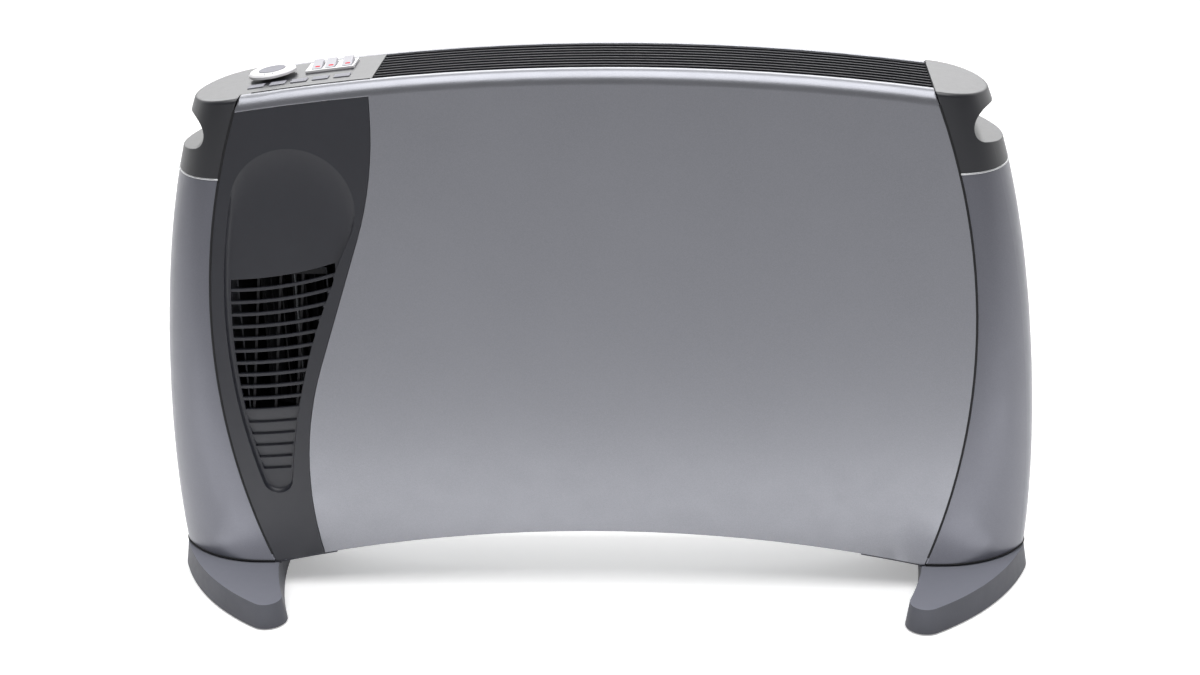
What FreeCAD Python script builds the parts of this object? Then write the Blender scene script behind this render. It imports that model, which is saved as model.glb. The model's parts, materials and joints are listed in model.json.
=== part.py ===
import FreeCAD, Part
import math
import os
import re

import Sketcher
from FreeCAD import Placement, Rotation, Vector

# Convector heater with a turbo fan. Frame: +X to the viewer's right, +Y away
# from the viewer, +Z up, origin on the floor under the middle. Millimetres.

SIZES = {
    # Casing envelope
    "half_width": 342.0,
    "half_depth": 48.0,
    "body_height": 421.0,
    "top_radius": 1780.0,
    "flank_radius": 1070.0,
    "flank_height": 90.0,
    "end_length_low": 71.0,
    "end_length_high": 42.0,
    "tip_ratio": 1.04,
    "seam_radius": 540.0,
    "seam_reach": 289.8,
    "seam_height": 205.0,
    "seam_gap": 0.8,
    "cap_height": 79.0,
    "cap_gap": 0.8,
    "skirt_height": 21.5,
    "bottom_radius": 1165.0,
    # Sheet metal
    "sheet": 1.2,
    "top_round": 10.0,
    "hem_flange": 2.0,
    "hem_depth": 9.0,
    "fit": 0.2,
    "tray_lift": 0.8,
    "inlet_length": 34.0,
    "inlet_width": 5.0,
    "inlet_pitch_x": 44.0,
    "inlet_pitch_y": 11.0,
    "inlet_columns": 8,
    "inlet_rows": 5,
    "inlet_start": -128.0,
    "vent_length": 44.0,
    "vent_height": 5.0,
    "vent_pitch_x": 60.0,
    "vent_pitch_z": 12.0,
    "vent_columns": 6,
    "vent_rows": 5,
    "vent_start": -122.0,
    "vent_floor": 72.0,
    "frame_flange": 12.0,
    "right_frame_x": 238.0,
    "shield_setback": 8.0,
    "shield_low": 82.0,
    "shield_drop": 49.0,
    # Plastic shells
    "wall": 3.0,
    "lip": 8.0,
    "lip_clearance": 1.0,
    "cap_round": 3.0,
    "cap_draw": 7.0,
    "notch_x": 293.7,
    "notch_drop": 46.5,
    "notch_radius": 12.2,
    "notch_mouth_x": 316.0,
    "notch_mouth_drop": 51.5,
    "notch_mouth_radius": 12.8,
    "notch_side_radius": 900.0,
    "deck_end": 154.5,
    "deck_overlap": 8.0,
    # Fan fascia
    "fascia_gap": 0.4,
    "fascia_top_x": 155.5,
    "fascia_waist_x": 223.6,
    "fascia_waist_z": 92.0,
    "fascia_sweep": 306.0,
    "fascia_lean": 19.0,
    "fascia_backing": 1.8,
    "fascia_overlap": 6.0,
    "dish_x": -219.0,
    "dish_drop": 103.0,
    "dish_radius": 47.0,
    "dish_tail_x": -249.7,
    "dish_tail_z": 95.0,
    "dish_tail_radius": 12.0,
    "dish_left_radius": 460.0,
    "dish_right_radius": 600.0,
    "dish_depth": 4.0,
    "dish_floor": 2.5,
    "dish_rim": 1.6,
    "well_x": -230.5,
    "well_drop": 149.0,
    "well_radius": 40.0,
    "well_tail_z": 97.0,
    "well_inset": 2.0,
    "row_x": -276.0,
    "row_rise": 118.0,
    "row_start": 278.0,
    "row_pitch": 10.0,
    "row_bar": 2.2,
    "row_margin": 0.4,
    "open_rows": 11,
    "blind_rows": 5,
    "blind_depth": 2.0,
    "rib_width": 2.0,
    "rib_depth": 2.0,
    "rib_spread": 17.0,
    "rib_lean": 7.0,
    # Top grille
    "grille_gap": 0.6,
    "grille_height": 9.5,
    "grille_sink": 0.6,
    "grille_rail": 2.6,
    "slat_width": 2.2,
    "slat_count": 8,
    "grille_rib_width": 3.0,
    "grille_rib_count": 6,
    "grille_rib_height": 4.0,
    # Feet
    "foot_reach": 119.0,
    "foot_height": 20.5,
    "foot_tip_round": 40.0,
    "foot_side_radius": 217.0,
    "foot_toe_x": 253.5,
    "foot_toe_round": 15.0,
    "foot_inner_radius": 300.0,
    "foot_tip_x": 343.0,
    "foot_draft": 3.0,
    "foot_wall": 3.0,
    "foot_lift": 1.0,
    "plinth_inset": 2.0,
    "plinth_margin": 4.0,
    "flange_reach": 208.0,
    "flange_thickness": 3.6,
    "pad_radius": 9.0,
    "pad_thickness": 3.0,
    "foot_screw_x": 226.0,
    "foot_screw_y": 30.0,
    "screw_shank": 1.9,
    "screw_head": 3.6,
    "screw_head_height": 2.2,
    "screw_length": 9.0,
    "screw_clearance": 0.1,
    # Thermostat
    "knob_x": -237.0,
    "knob_y": 8.0,
    "knob_radius": 18.0,
    "knob_height": 3.2,
    "knob_lift": 2.4,
    "knob_hub_wall": 2.0,
    "knob_edge": 1.4,
    "knob_gap": 0.5,
    "knob_cap_radius": 10.2,
    "knob_cap_rise": 0.3,
    "knob_cap_sink": 1.2,
    "shaft_radius": 3.0,
    "shaft_clearance": 0.05,
    "bush_radius": 5.0,
    "nut_width": 13.0,
    "nut_height": 2.5,
    "thermostat_width": 30.0,
    "thermostat_depth": 32.0,
    "thermostat_height": 22.0,
    # Rocker switches
    "bezel_x": -192.8,
    "bezel_y": 14.0,
    "bezel_width": 37.0,
    "bezel_depth": 24.0,
    "bezel_rise": 1.8,
    "rocker_width": 7.4,
    "rocker_half": 8.0,
    "rocker_throw": 12.5,
    "rocker_gap": 0.4,
    "rocker_first": -10.5,
    "rocker_second": -0.2,
    "rocker_third": 12.6,
    "rocker_pin": 1.2,
    "rocker_pin_drop": 2.2,
    "rocker_pin_clearance": 0.05,
    "rocker_face": 0.3,
    "rocker_edge": 2.6,
    "rocker_root": 3.0,
    "switch_wall": 0.9,
    "switch_depth": 19.0,
    "tab_width": 4.8,
    "tab_thickness": 0.8,
    "tab_length": 9.0,
    # Legend pads on the deck
    "legend_y": -17.5,
    "legend_width": 12.0,
    "legend_depth": 9.0,
    "legend_rise": 0.6,
    "legend_start": -244.6,
    "legend_pitch": 16.27,
    "legend_count": 5,
    # Heating elements
    "element_low": 104.0,
    "element_high": 160.0,
    "element_gap": 14.0,
    "element_core": 6.0,
    "fin_reach_y": 30.0,
    "fin_reach_z": 20.0,
    "fin_thickness": 1.6,
    "insulator_radius": 7.0,
    "insulator_flange": 10.0,
    "insulator_flange_thickness": 4.0,
    "element_pin": 2.0,
    "element_pin_length": 16.0,
    "cutout_radius": 8.5,
    "cutout_height": 11.0,
    "cutout_z": 228.0,
    # Turbo fan
    "fan_x": -233.0,
    "fan_drop": 151.0,
    "fan_length": 124.0,
    "fan_housing_radius": 35.0,
    "fan_sheet": 1.2,
    "impeller_radius": 27.0,
    "impeller_disc": 2.0,
    "impeller_gap": 4.0,
    "impeller_hub": 7.0,
    "blade_count": 18,
    "blade_width": 7.0,
    "blade_thickness": 1.2,
    "blade_inset": 0.5,
    "fan_shaft_radius": 2.5,
    "fan_shaft_clearance": 0.04,
    "bearing_radius": 6.5,
    "bearing_height": 6.0,
    "stack_width": 54.0,
    "stack_front": 21.0,
    "stack_back": 35.0,
    "stack_leg": 9.0,
    "stack_rise": 28.0,
    "stack_height": 18.0,
    "rotor_radius": 11.0,
    "rotor_gap": 0.5,
    "rotor_overhang": 1.0,
    "stack_bridge": 5.5,
    "coil_width": 28.0,
    "coil_build": 5.5,
    "strap_width": 14.0,
    "strap_thickness": 2.4,
    "strap_standoff": 9.0,
    "motor_post_radius": 2.2,
    "motor_post_x": 22.0,
    "bracket_y": -24.0,
    "bracket_depth": 12.0,
    "bracket_sheet": 1.6,
    # Mains inlet
    "inlet_x": -196.0,
    "inlet_z": 78.0,
    "cable_radius": 3.75,
    "bush_body_radius": 7.0,
    "bush_flange_radius": 9.5,
    "bush_flange_height": 2.5,
    "bush_inside": 7.0,
    "block_length": 26.0,
    "block_height": 22.0,
    "block_width": 16.0,
    "block_low": 66.0,
    # Rear panel screws
    "rear_screw_low": 70.0,
    "rear_screw_drop": 69.0,
}

doc = FreeCAD.newDocument("ConvectorHeater")
sheet = doc.addObject("Spreadsheet::Sheet", "Sizes")
for row, (alias, size) in enumerate(SIZES.items(), start=1):
    sheet.set(f"A{row}", alias)
    sheet.set(f"B{row}", str(size))
    sheet.setAlias(f"B{row}", alias)
gauge = doc.addObject("App::FeaturePython", "Gauge")
gauge.addProperty("App::PropertyFloat", "Reading")
doc.recompute()

NODES = {}
X_AXIS = Vector(1, 0, 0)
Y_AXIS = Vector(0, 1, 0)
Z_AXIS = Vector(0, 0, 1)
# A turn about Y, whose angle the sheet then sets, and the distance that counts as touching
TILT = Rotation(Y_AXIS, 1)
NEAR = 0.01


# Expressions

def full(text):
    """Put the sheet's name before every size in an expression."""
    return re.sub(r"[a-z]\w*", sheet_word, text)


def sheet_word(match):
    word = match.group()
    return f"Sizes.{word}" if word in SIZES else word


def bind(item, prop, text):
    item.setExpression(prop, full(text))


def number(text):
    """Value of an expression, so that a sketch is drawn where its constraints will hold it."""
    gauge.setExpression("Reading", full(text))
    gauge.recompute()
    return gauge.Reading


def count(alias):
    return int(SIZES[alias])


def node(label, item):
    item.Label = label
    NODES[label] = item
    return item


# Part primitives and booleans

def set_place(item, x="0", y="0", z="0"):
    bind(item, "Placement.Base.x", x)
    bind(item, "Placement.Base.y", y)
    bind(item, "Placement.Base.z", z)


def box(name, x0, x1, y0, y1, z0, z1):
    item = doc.addObject("Part::Box", name)
    bind(item, "Length", f"({x1}) - ({x0})")
    bind(item, "Width", f"({y1}) - ({y0})")
    bind(item, "Height", f"({z1}) - ({z0})")
    set_place(item, x0, y0, z0)
    return item


def cylinder(name, rotation, start, radius, length):
    item = doc.addObject("Part::Cylinder", name)
    item.Placement = Placement(Vector(), rotation)
    bind(item, "Radius", radius)
    bind(item, "Height", length)
    set_place(item, *start)
    return item


def post(name, x, y, z0, z1, radius):
    return cylinder(name, Rotation(), (x, y, z0), radius, f"({z1}) - ({z0})")


def drum(name, x, z, radius, y0="-half_depth - wall", y1="half_depth + wall"):
    return cylinder(name, Rotation(X_AXIS, -90), (x, y0, z), radius, f"({y1}) - ({y0})")


def rod(name, x0, x1, y, z, radius):
    return cylinder(name, Rotation(Y_AXIS, 90), (x0, y, z), radius, f"({x1}) - ({x0})")


def cut(name, base, *tools):
    for index, tool in enumerate(tools, start=1):
        last = index == len(tools)
        item = doc.addObject("Part::Cut", name if last else f"{name}_step{index}")
        item.Base = base
        item.Tool = tool
        base = item
    return base


def common(name, first, *others):
    base = first
    for index, other in enumerate(others, start=1):
        last = index == len(others)
        item = doc.addObject("Part::Common", name if last else f"{name}_step{index}")
        item.Base = base
        item.Tool = other
        base = item
    return base


def fuse(name, *shapes):
    item = doc.addObject("Part::MultiFuse", name)
    item.Shapes = list(shapes)
    item.Refine = True
    return item


def group(name, *shapes):
    item = doc.addObject("Part::Compound", name)
    item.Links = list(shapes)
    return item


def mirror(name, source):
    item = doc.addObject("Part::Mirroring", name)
    item.Source = source
    item.Normal = X_AXIS
    item.Base = Vector()
    return item


# Sketches

PLANES = {
    "XY": Rotation(),
    "XZ": Rotation(X_AXIS, 90),
    "YZ": Rotation(Vector(1, 1, 1), 120),
}


def free_sketch(name, plane, x="0", y="0", z="0"):
    sketch = doc.addObject("Sketcher::SketchObject", name)
    sketch.Placement = Placement(Vector(), PLANES[plane])
    set_place(sketch, x, y, z)
    return sketch


def hold(sketch, kind, text, *where):
    index = sketch.addConstraint(Sketcher.Constraint(kind, *where, number(text)))
    sketch.setExpression(f"Constraints[{index}]", full(text))


def hold_point(sketch, geo, pos, x, y):
    hold(sketch, "DistanceX", x, -1, 1, geo, pos)
    hold(sketch, "DistanceY", y, -1, 1, geo, pos)


def arc_between(start, end, radius, bulge):
    """Minor arc from start to end that bulges to the left or right of the way; says if it runs clockwise."""
    way = end - start
    left = Vector(-way.y, way.x, 0).normalize()
    rise = math.sqrt(max(radius ** 2 - way.Length ** 2 / 4, 0))
    clockwise = bulge == "left"
    centre = (start + end) * 0.5 + left * (-rise if clockwise else rise)
    first, last = (end, start) if clockwise else (start, end)
    angles = [math.atan2(p.y - centre.y, p.x - centre.x) for p in (first, last)]
    circle = Part.Circle(centre, Z_AXIS, radius)
    return Part.ArcOfCircle(circle, *angles), clockwise


def outline(sketch, corners):
    """Closed outline through the corners: (x, y) starts a line, (x, y, radius, bulge) an arc."""
    points = [Vector(number(c[0]), number(c[1]), 0) for c in corners]
    edges = []
    for corner, start, end in zip(corners, points, points[1:] + points[:1]):
        if len(corner) == 2:
            geo = sketch.addGeometry(Part.LineSegment(start, end), False)
            edges.append((geo, 1, 2))
            continue
        arc, clockwise = arc_between(start, end, number(corner[2]), corner[3])
        geo = sketch.addGeometry(arc, False)
        edges.append((geo, 2, 1) if clockwise else (geo, 1, 2))
    for index, (geo, first, last) in enumerate(edges):
        following = edges[(index + 1) % len(edges)]
        sketch.addConstraint(Sketcher.Constraint("Coincident", geo, last, following[0], following[1]))
    for corner, (geo, first, last) in zip(corners, edges):
        hold_point(sketch, geo, first, corner[0], corner[1])
        if len(corner) > 2:
            hold(sketch, "Radius", corner[2], geo)
    return sketch


def rectangle(sketch, x0, x1, y0, y1):
    return outline(sketch, [(x0, y0), (x1, y0), (x1, y1), (x0, y1)])


def ring(sketch, x, y, radius):
    geo = sketch.addGeometry(Part.Circle(Vector(number(x), number(y), 0), Z_AXIS, number(radius)), False)
    hold_point(sketch, geo, 3, x, y)
    hold(sketch, "Radius", radius, geo)
    return sketch


def link_centre(first, last, reach_first, reach_last, on_left):
    """Centre at the two given distances from two points, on one side of the way between them."""
    way = last - first
    along = (reach_first ** 2 - reach_last ** 2 + way.Length ** 2) / (2 * way.Length)
    aside = math.sqrt(max(reach_first ** 2 - along ** 2, 0))
    step = Vector(way).normalize()
    left = Vector(-step.y, step.x, 0)
    return first + step * along + left * (aside if on_left else -aside)


def smooth_loop(sketch, rounds, links):
    """Anticlockwise loop of round corners (x, y, radius), each joined to the next by a tangent arc:
    a link is (radius, "out") for an arc that bulges outwards or (radius, "in") for a hollow one."""
    centres = [Vector(number(x), number(y), 0) for x, y, radius in rounds]
    radii = [number(radius) for x, y, radius in rounds]
    joints = []
    for index, (text, bulge) in enumerate(links):
        following = (index + 1) % len(rounds)
        radius = number(text)
        sign = -1 if bulge == "out" else 1
        reaches = [radius + sign * radii[k] for k in (index, following)]
        centre = link_centre(centres[index], centres[following], *reaches, bulge == "out")
        touch = []
        for k in (index, following):
            away = Vector(centres[k] - centre).normalize()
            touch.append(centre + away * radius)
        joints.append((centre, radius, bulge, touch))
    edges = []
    for index, (centre, radius) in enumerate(zip(centres, radii)):
        before = joints[index - 1][3][1]
        after = joints[index][3][0]
        edges.append(add_arc(sketch, centre, radius, before, after))
        link, link_radius, bulge, touch = joints[index]
        if bulge == "out":
            edges.append(add_arc(sketch, link, link_radius, touch[0], touch[1]))
        else:
            geo, first, last = add_arc(sketch, link, link_radius, touch[1], touch[0])
            edges.append((geo, last, first))
    for index, (geo, first, last) in enumerate(edges):
        following = edges[(index + 1) % len(edges)]
        sketch.addConstraint(Sketcher.Constraint("Tangent", geo, last, following[0], following[1]))
    for index, (x, y, radius) in enumerate(rounds):
        geo = edges[2 * index][0]
        hold_point(sketch, geo, 3, x, y)
        hold(sketch, "Radius", radius, geo)
        hold(sketch, "Radius", links[index][0], edges[2 * index + 1][0])
    return sketch


def add_arc(sketch, centre, radius, start, end):
    angles = [math.atan2(p.y - centre.y, p.x - centre.x) for p in (start, end)]
    circle = Part.Circle(centre, Z_AXIS, radius)
    return sketch.addGeometry(Part.ArcOfCircle(circle, *angles), False), 1, 2


# Features from sketches

def prism(name, sketch, y0, y1):
    """Solid on an XZ sketch, from y0 to y1."""
    item = doc.addObject("Part::Extrusion", name)
    item.Base = sketch
    item.DirMode = "Custom"
    item.Dir = Y_AXIS
    item.Solid = True
    bind(item, "LengthRev", f"-({y0})")
    bind(item, "LengthFwd", y1)
    return item


def turned(name, sketch, axis, base, angle):
    """Solid of revolution about an axis, even on both sides of the sketch."""
    item = doc.addObject("Part::Revolution", name)
    item.Source = sketch
    item.Axis = axis
    item.Solid = True
    item.Symmetric = True
    bind(item, "Base.x", base[0])
    bind(item, "Base.y", base[1])
    bind(item, "Base.z", base[2])
    bind(item, "Angle", angle)
    return item


def loft(name, sections, ruled=False):
    item = doc.addObject("Part::Loft", name)
    item.Sections = sections
    item.Solid = True
    item.Ruled = ruled
    return item


def new_body(name):
    return doc.addObject("PartDesign::Body", name)


def origin_part(body, role):
    return next(item for item in body.Origin.OriginFeatures if item.Role == role)


def body_sketch(body, name, plane, lift="0"):
    sketch = body.newObject("Sketcher::SketchObject", name)
    sketch.AttachmentSupport = [(origin_part(body, plane + "_Plane"), "")]
    sketch.MapMode = "FlatFace"
    bind(sketch, "AttachmentOffset.Base.z", lift)
    return sketch


def pad(body, name, sketch, length, midplane=False, backwards=False):
    feature = body.newObject("PartDesign::Pad", name)
    feature.Profile = sketch
    feature.Midplane = midplane
    feature.Reversed = backwards
    bind(feature, "Length", length)
    return feature


def pocket(body, name, sketch, depth, midplane=False, backwards=False):
    feature = body.newObject("PartDesign::Pocket", name)
    feature.Profile = sketch
    feature.Midplane = midplane
    feature.Reversed = backwards
    bind(feature, "Length", depth)
    return feature


def spin(body, name, sketch, role, angle="360"):
    feature = body.newObject("PartDesign::Revolution", name)
    feature.Profile = sketch
    feature.ReferenceAxis = (origin_part(body, role), [""])
    feature.Midplane = True
    bind(feature, "Angle", angle)
    return feature


# Shared curves of the casing

ARCH_Z = "(body_height - top_radius)"
CAP_LINE = "(body_height - cap_height)"
FAN_HIGH = "(body_height - fan_drop)"
FAN_LOW = f"({FAN_HIGH} - fan_length)"
ARCH_SWEEP = "2 * asin(half_width / (top_radius - body_height))"
SEAM_X = "(seam_reach - seam_radius)"
LEAN_SIN = "sin(fascia_lean * 1deg)"
LEAN_COS = "cos(fascia_lean * 1deg)"


def seam_x(z, inset="0"):
    """Distance of the side seam from the middle at a height."""
    return f"({SEAM_X} + sqrt((seam_radius - ({inset}))^2 - ({z} - seam_height)^2))"


def arch_z(x, drop="0"):
    """Height of the arched top at a distance from the middle."""
    return f"({ARCH_Z} + sqrt((top_radius - ({drop}))^2 - ({x})^2))"


CORNER_X = seam_x("skirt_height")
SEAM_TOP_X = seam_x(arch_z(seam_x(arch_z("seam_reach"))))
FLOOR_Z = f"(skirt_height - sqrt(bottom_radius^2 - {CORNER_X}^2))"


def floor_z(x, lift="0"):
    """Height of the arched lower edge at a distance from the middle."""
    return f"({FLOOR_Z} + sqrt((bottom_radius + ({lift}))^2 - ({x})^2))"


def on_deck(item, x, y, depth="0"):
    """Stand an item on the arched top, square to it, at a depth below the surface."""
    share = f"(1 - ({depth}) / top_radius)"
    item.Placement = Placement(Vector(), TILT)
    bind(item, "Placement.Rotation.Angle", f"asin(({x}) / top_radius)")
    set_place(item, f"({x}) * {share}", y, f"{ARCH_Z} + {share} * sqrt(top_radius^2 - ({x})^2)")


def fascia_edge(offset, hem="0"):
    """Corners of the S-shaped edge between fascia and panel, top to bottom, moved left by an offset.
    The lowest corner lies a hem above the arched lower edge."""
    sweep = "fascia_sweep"
    run = f"((fascia_waist_x - fascia_top_x - 2 * {sweep} * (1 - {LEAN_COS})) / {LEAN_SIN})"
    upper_z = f"(fascia_waist_z + 2 * {sweep} * {LEAN_SIN} + {run} * {LEAN_COS})"
    upper = (f"(-fascia_top_x - {sweep})", upper_z)
    lower = (f"({sweep} - fascia_waist_x)", "fascia_waist_z")
    inner = f"({sweep} - ({offset}))"
    outer = f"({sweep} + ({offset}))"
    end_z = floor_z(f"fascia_waist_x - fascia_overlap + ({offset})", hem)
    top = (f"-fascia_top_x - ({offset})", upper[1])
    first = (f"{upper[0]} + {inner} * {LEAN_COS}", f"{upper[1]} - {inner} * {LEAN_SIN}")
    second = (f"{lower[0]} - {outer} * {LEAN_COS}", f"{lower[1]} + {outer} * {LEAN_SIN}")
    end = (f"{lower[0]} - sqrt({outer}^2 - ({end_z} - fascia_waist_z)^2)", end_z)
    return top, first, second, end, inner, outer


# Casing sheets

def panel_section(name, side):
    """Arched sheet with a flat face whose top edge is rounded over and hemmed.
    The side is -1 in front and 1 behind."""
    sketch = free_sketch(name, "YZ")
    low = "0"
    face = "half_depth"
    bend = "(half_depth - top_round)"
    hem = "(half_depth - top_round - hem_flange)"
    shoulder = "body_height - top_round"
    bulge = ("left", "right") if side < 0 else ("right", "left")
    corners = [
        (face, low),
        (face, shoulder, "top_round", bulge[0]),
        (bend, "body_height"),
        (hem, "body_height"),
        (hem, "body_height - hem_depth"),
        (f"{hem} + sheet", "body_height - hem_depth"),
        (f"{hem} + sheet", "body_height - sheet"),
        (bend, "body_height - sheet", "top_round - sheet", bulge[1]),
        (f"{face} - sheet", shoulder),
        (f"{face} - sheet", low),
    ]
    sign = "-" if side < 0 else ""
    outline(sketch, [(f"{sign}({c[0]})",) + tuple(c[1:]) for c in corners])
    return turned(name + "_bent", sketch, Y_AXIS, ("0", "0", ARCH_Z), ARCH_SWEEP)


HALF_GAP = "seam_gap / 2"
ROOF = "(body_height + top_round)"


def front_panel():
    top, first, second, end, inner, outer = fascia_edge("0")
    brow = "top_round"
    left_z = arch_z(SEAM_TOP_X, brow)
    sketch = free_sketch("front_outline", "XZ")
    outline(sketch, [
        (*end, "bottom_radius", "left"),
        (seam_x("skirt_height", HALF_GAP), "skirt_height", f"seam_radius - {HALF_GAP}", "right"),
        (seam_x(ROOF, HALF_GAP), ROOF),
        ("-" + seam_x(ROOF, HALF_GAP), ROOF, f"seam_radius - {HALF_GAP}", "right"),
        ("-" + seam_x(left_z, HALF_GAP), left_z, f"top_radius - {brow}", "left"),
        ("-fascia_top_x", arch_z("fascia_top_x", brow)),
        (*top, inner, "left"),
        first,
        (*second, outer, "right"),
    ])
    blank = prism("front_blank", sketch, "-half_depth - wall", "0")
    return node("front_panel", common("front_panel", panel_section("front_section", -1), blank))


def grid_tool(name, plane, corner, size, depth, steps, roles, backwards=False):
    """Cutter of equal slots in columns and rows."""
    body = new_body(name)
    sketch = body_sketch(body, name + "_slot", plane)
    rectangle(sketch, corner[0], f"{corner[0]} + {size[0]}", corner[1], f"{corner[1]} + {size[1]}")
    slot = pad(body, name + "_pad", sketch, depth, backwards=backwards)
    pattern = body.newObject("PartDesign::MultiTransform", name + "_grid")
    pattern.Originals = [slot]
    moves = []
    for index, ((pitch, copies), role) in enumerate(zip(steps, roles)):
        move = body.newObject("PartDesign::LinearPattern", f"{name}_move{index}")
        move.Direction = (origin_part(body, role), [""])
        bind(move, "Length", f"{pitch} * ({copies} - 1)")
        bind(move, "Occurrences", copies)
        moves.append(move)
    pattern.Transformations = moves
    body.Tip = pattern
    return body


def rear_panel():
    sketch = free_sketch("rear_outline", "XZ")
    outline(sketch, [
        ("-" + seam_x("skirt_height", HALF_GAP), "skirt_height", "bottom_radius", "left"),
        (seam_x("skirt_height", HALF_GAP), "skirt_height", f"seam_radius - {HALF_GAP}", "right"),
        (seam_x(ROOF, HALF_GAP), ROOF),
        ("-" + seam_x(ROOF, HALF_GAP), ROOF, f"seam_radius - {HALF_GAP}", "right"),
    ])
    blank = prism("rear_blank", sketch, "0", "half_depth + wall")
    sheet_part = common("rear_sheet", panel_section("rear_section", 1), blank)
    vents = grid_tool("vents", "XZ", ("vent_start", "vent_floor"), ("vent_length", "vent_height"),
                      "half_depth + wall", [("vent_pitch_x", "vent_columns"), ("vent_pitch_z", "vent_rows")],
                      ("X_Axis", "Z_Axis"), backwards=True)
    inlet = drum("inlet_hole", "inlet_x", "inlet_z", "bush_body_radius", "0", "half_depth + wall")
    holes = [drum(f"rear_hole_{k}", x, z, "screw_shank", "0", "half_depth + wall")
             for k, (x, z) in enumerate(REAR_SCREWS)]
    return node("rear_panel", cut("rear_panel", sheet_part, vents, inlet, *holes))


DIVIDER_X = "(-deck_end - wall / 2)"
FLANGE_MID = "frame_flange / 2"
REAR_SCREWS = [(x, z)
               for x in (f"{DIVIDER_X} + {FLANGE_MID}", f"right_frame_x - {FLANGE_MID}")
               for z in ("rear_screw_low", "body_height - rear_screw_drop")]
INNER_Y = "(half_depth - sheet)"
TRAY_TOP = "tray_lift + sheet"


def base_tray():
    upper = drum("tray_upper", "0", FLOOR_Z, f"bottom_radius + {TRAY_TOP}", f"-{INNER_Y}", INNER_Y)
    lower = drum("tray_lower", "0", FLOOR_Z, "bottom_radius + tray_lift")
    end = f"({CORNER_X} - lip - lip_clearance)"
    reach = box("tray_reach", f"-{end}", end, "-half_depth", "half_depth", "0", "body_height / 2")
    strip = common("tray_strip", cut("tray_arch", upper, lower), reach)
    rows = "inlet_pitch_y * (inlet_rows - 1) + inlet_width"
    slots = grid_tool("inlets", "XY", ("inlet_start", f"-({rows}) / 2"), ("inlet_length", "inlet_width"),
                      "body_height / 2",
                      [("inlet_pitch_x", "inlet_columns"), ("inlet_pitch_y", "inlet_rows")],
                      ("X_Axis", "Y_Axis"))
    holes = [foot_screw_tool(f"tray_hole_{k}", sx, sy, "screw_shank")
             for k, (sx, sy) in enumerate(FOOT_SCREWS)]
    return node("base_tray", cut("base_tray", strip, slots, *holes))


def frame_channel(name, x, inward, front_y):
    """Upright sheet channel between the panels; inward is the side its flanges turn to."""
    x1 = f"{x} + sheet"
    flange = (x, f"{x} + frame_flange") if inward > 0 else (f"{x1} - frame_flange", x1)
    web = box(name + "_web", x, x1, front_y, INNER_Y, "0", "body_height")
    front = box(name + "_front", *flange, front_y, f"{front_y} + sheet", "0", "body_height")
    rear = box(name + "_rear", *flange, f"{INNER_Y} - sheet", INNER_Y, "0", "body_height")
    channel = fuse(name + "_channel", web, front, rear)
    roof = drum(name + "_roof", "0", ARCH_Z, "top_radius - grille_height - grille_sink")
    floor = drum(name + "_floor", "0", FLOOR_Z, f"bottom_radius + {TRAY_TOP}")
    holes = [rod(f"{name}_bore{k}", f"{x} - wall", f"{x} + wall", "0", z, "insulator_radius")
             for k, z in enumerate(("element_low", "element_high"))]
    for k, (sx, sz) in enumerate(REAR_SCREWS):
        holes.append(drum(f"{name}_screw{k}", sx, sz, "screw_shank", "0", "half_depth"))
    return cut(name, common(name + "_trim", channel, roof), floor, *holes)


def frames():
    behind_fascia = f"(fascia_backing + fit - {INNER_Y})"
    node("divider_plate", frame_channel("divider_plate", DIVIDER_X, 1, behind_fascia))
    right = frame_channel("right_end_frame", "right_frame_x - sheet", -1, f"-{INNER_Y}")
    node("right_end_frame", right)


def heat_shield():
    y0 = f"sheet + shield_setback - {INNER_Y}"
    shield = box("heat_shield", f"{DIVIDER_X} + sheet", "right_frame_x - sheet", y0, f"{y0} + sheet",
                 "shield_low", "body_height - shield_drop")
    node("heat_shield", shield)


# Plastic end shells

END_SECTIONS = [
    ("foot_height / 2", "0"),
    (f"{CAP_LINE} / 3", "0"),
    (f"{CAP_LINE} * 2 / 3", "0"),
    (CAP_LINE, "0"),
    ("(body_height + top_round)", "cap_draw"),
]


def end_outline(sketch, z, inset, inner_x, draw="0"):
    """Plan of the right end at a height: two flat sides, each turned in by an arc to the arc of the tip.
    The longer the end, the sharper its tip; the arcs meet at the same angle at every height."""
    tip = f"(half_width - flank_radius + sqrt(flank_radius^2 - ({z} - flank_height)^2) - {draw})"
    length = f"(end_length_low + (end_length_high - end_length_low) * ({z}) / {CAP_LINE})"
    spare = f"({length} - half_depth)"
    tip_radius = f"(half_depth - tip_ratio * {spare})"
    side_radius = f"(half_depth + {spare} * (1 + 0.5 / tip_ratio) - ({inset}))"
    flat = f"({tip} - {length})"
    half = f"(half_depth - ({inset}))"
    nose = f"({tip_radius} - ({inset}))"
    whole = "(1 + tip_ratio + 0.5 / tip_ratio)"
    turn_x = f"({tip} - {tip_radius} + {nose} * (1 + tip_ratio) / {whole})"
    turn_y = f"({nose} * (1 + 0.5 / tip_ratio) / {whole})"
    return outline(sketch, [
        (inner_x, f"-{half}"),
        (flat, f"-{half}", side_radius, "right"),
        (turn_x, f"-{turn_y}", nose, "right"),
        (turn_x, turn_y, side_radius, "right"),
        (flat, half),
        (inner_x, half),
    ])


def end_loft(name, inset, inner_x):
    sections = []
    for index, (z, draw) in enumerate(END_SECTIONS):
        sketch = free_sketch(f"{name}_section{index}", "XY", z=z)
        sections.append(end_outline(sketch, z, inset, inner_x, draw))
    return loft(name, sections)


INNER_X = "(seam_reach / 2)"


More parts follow.
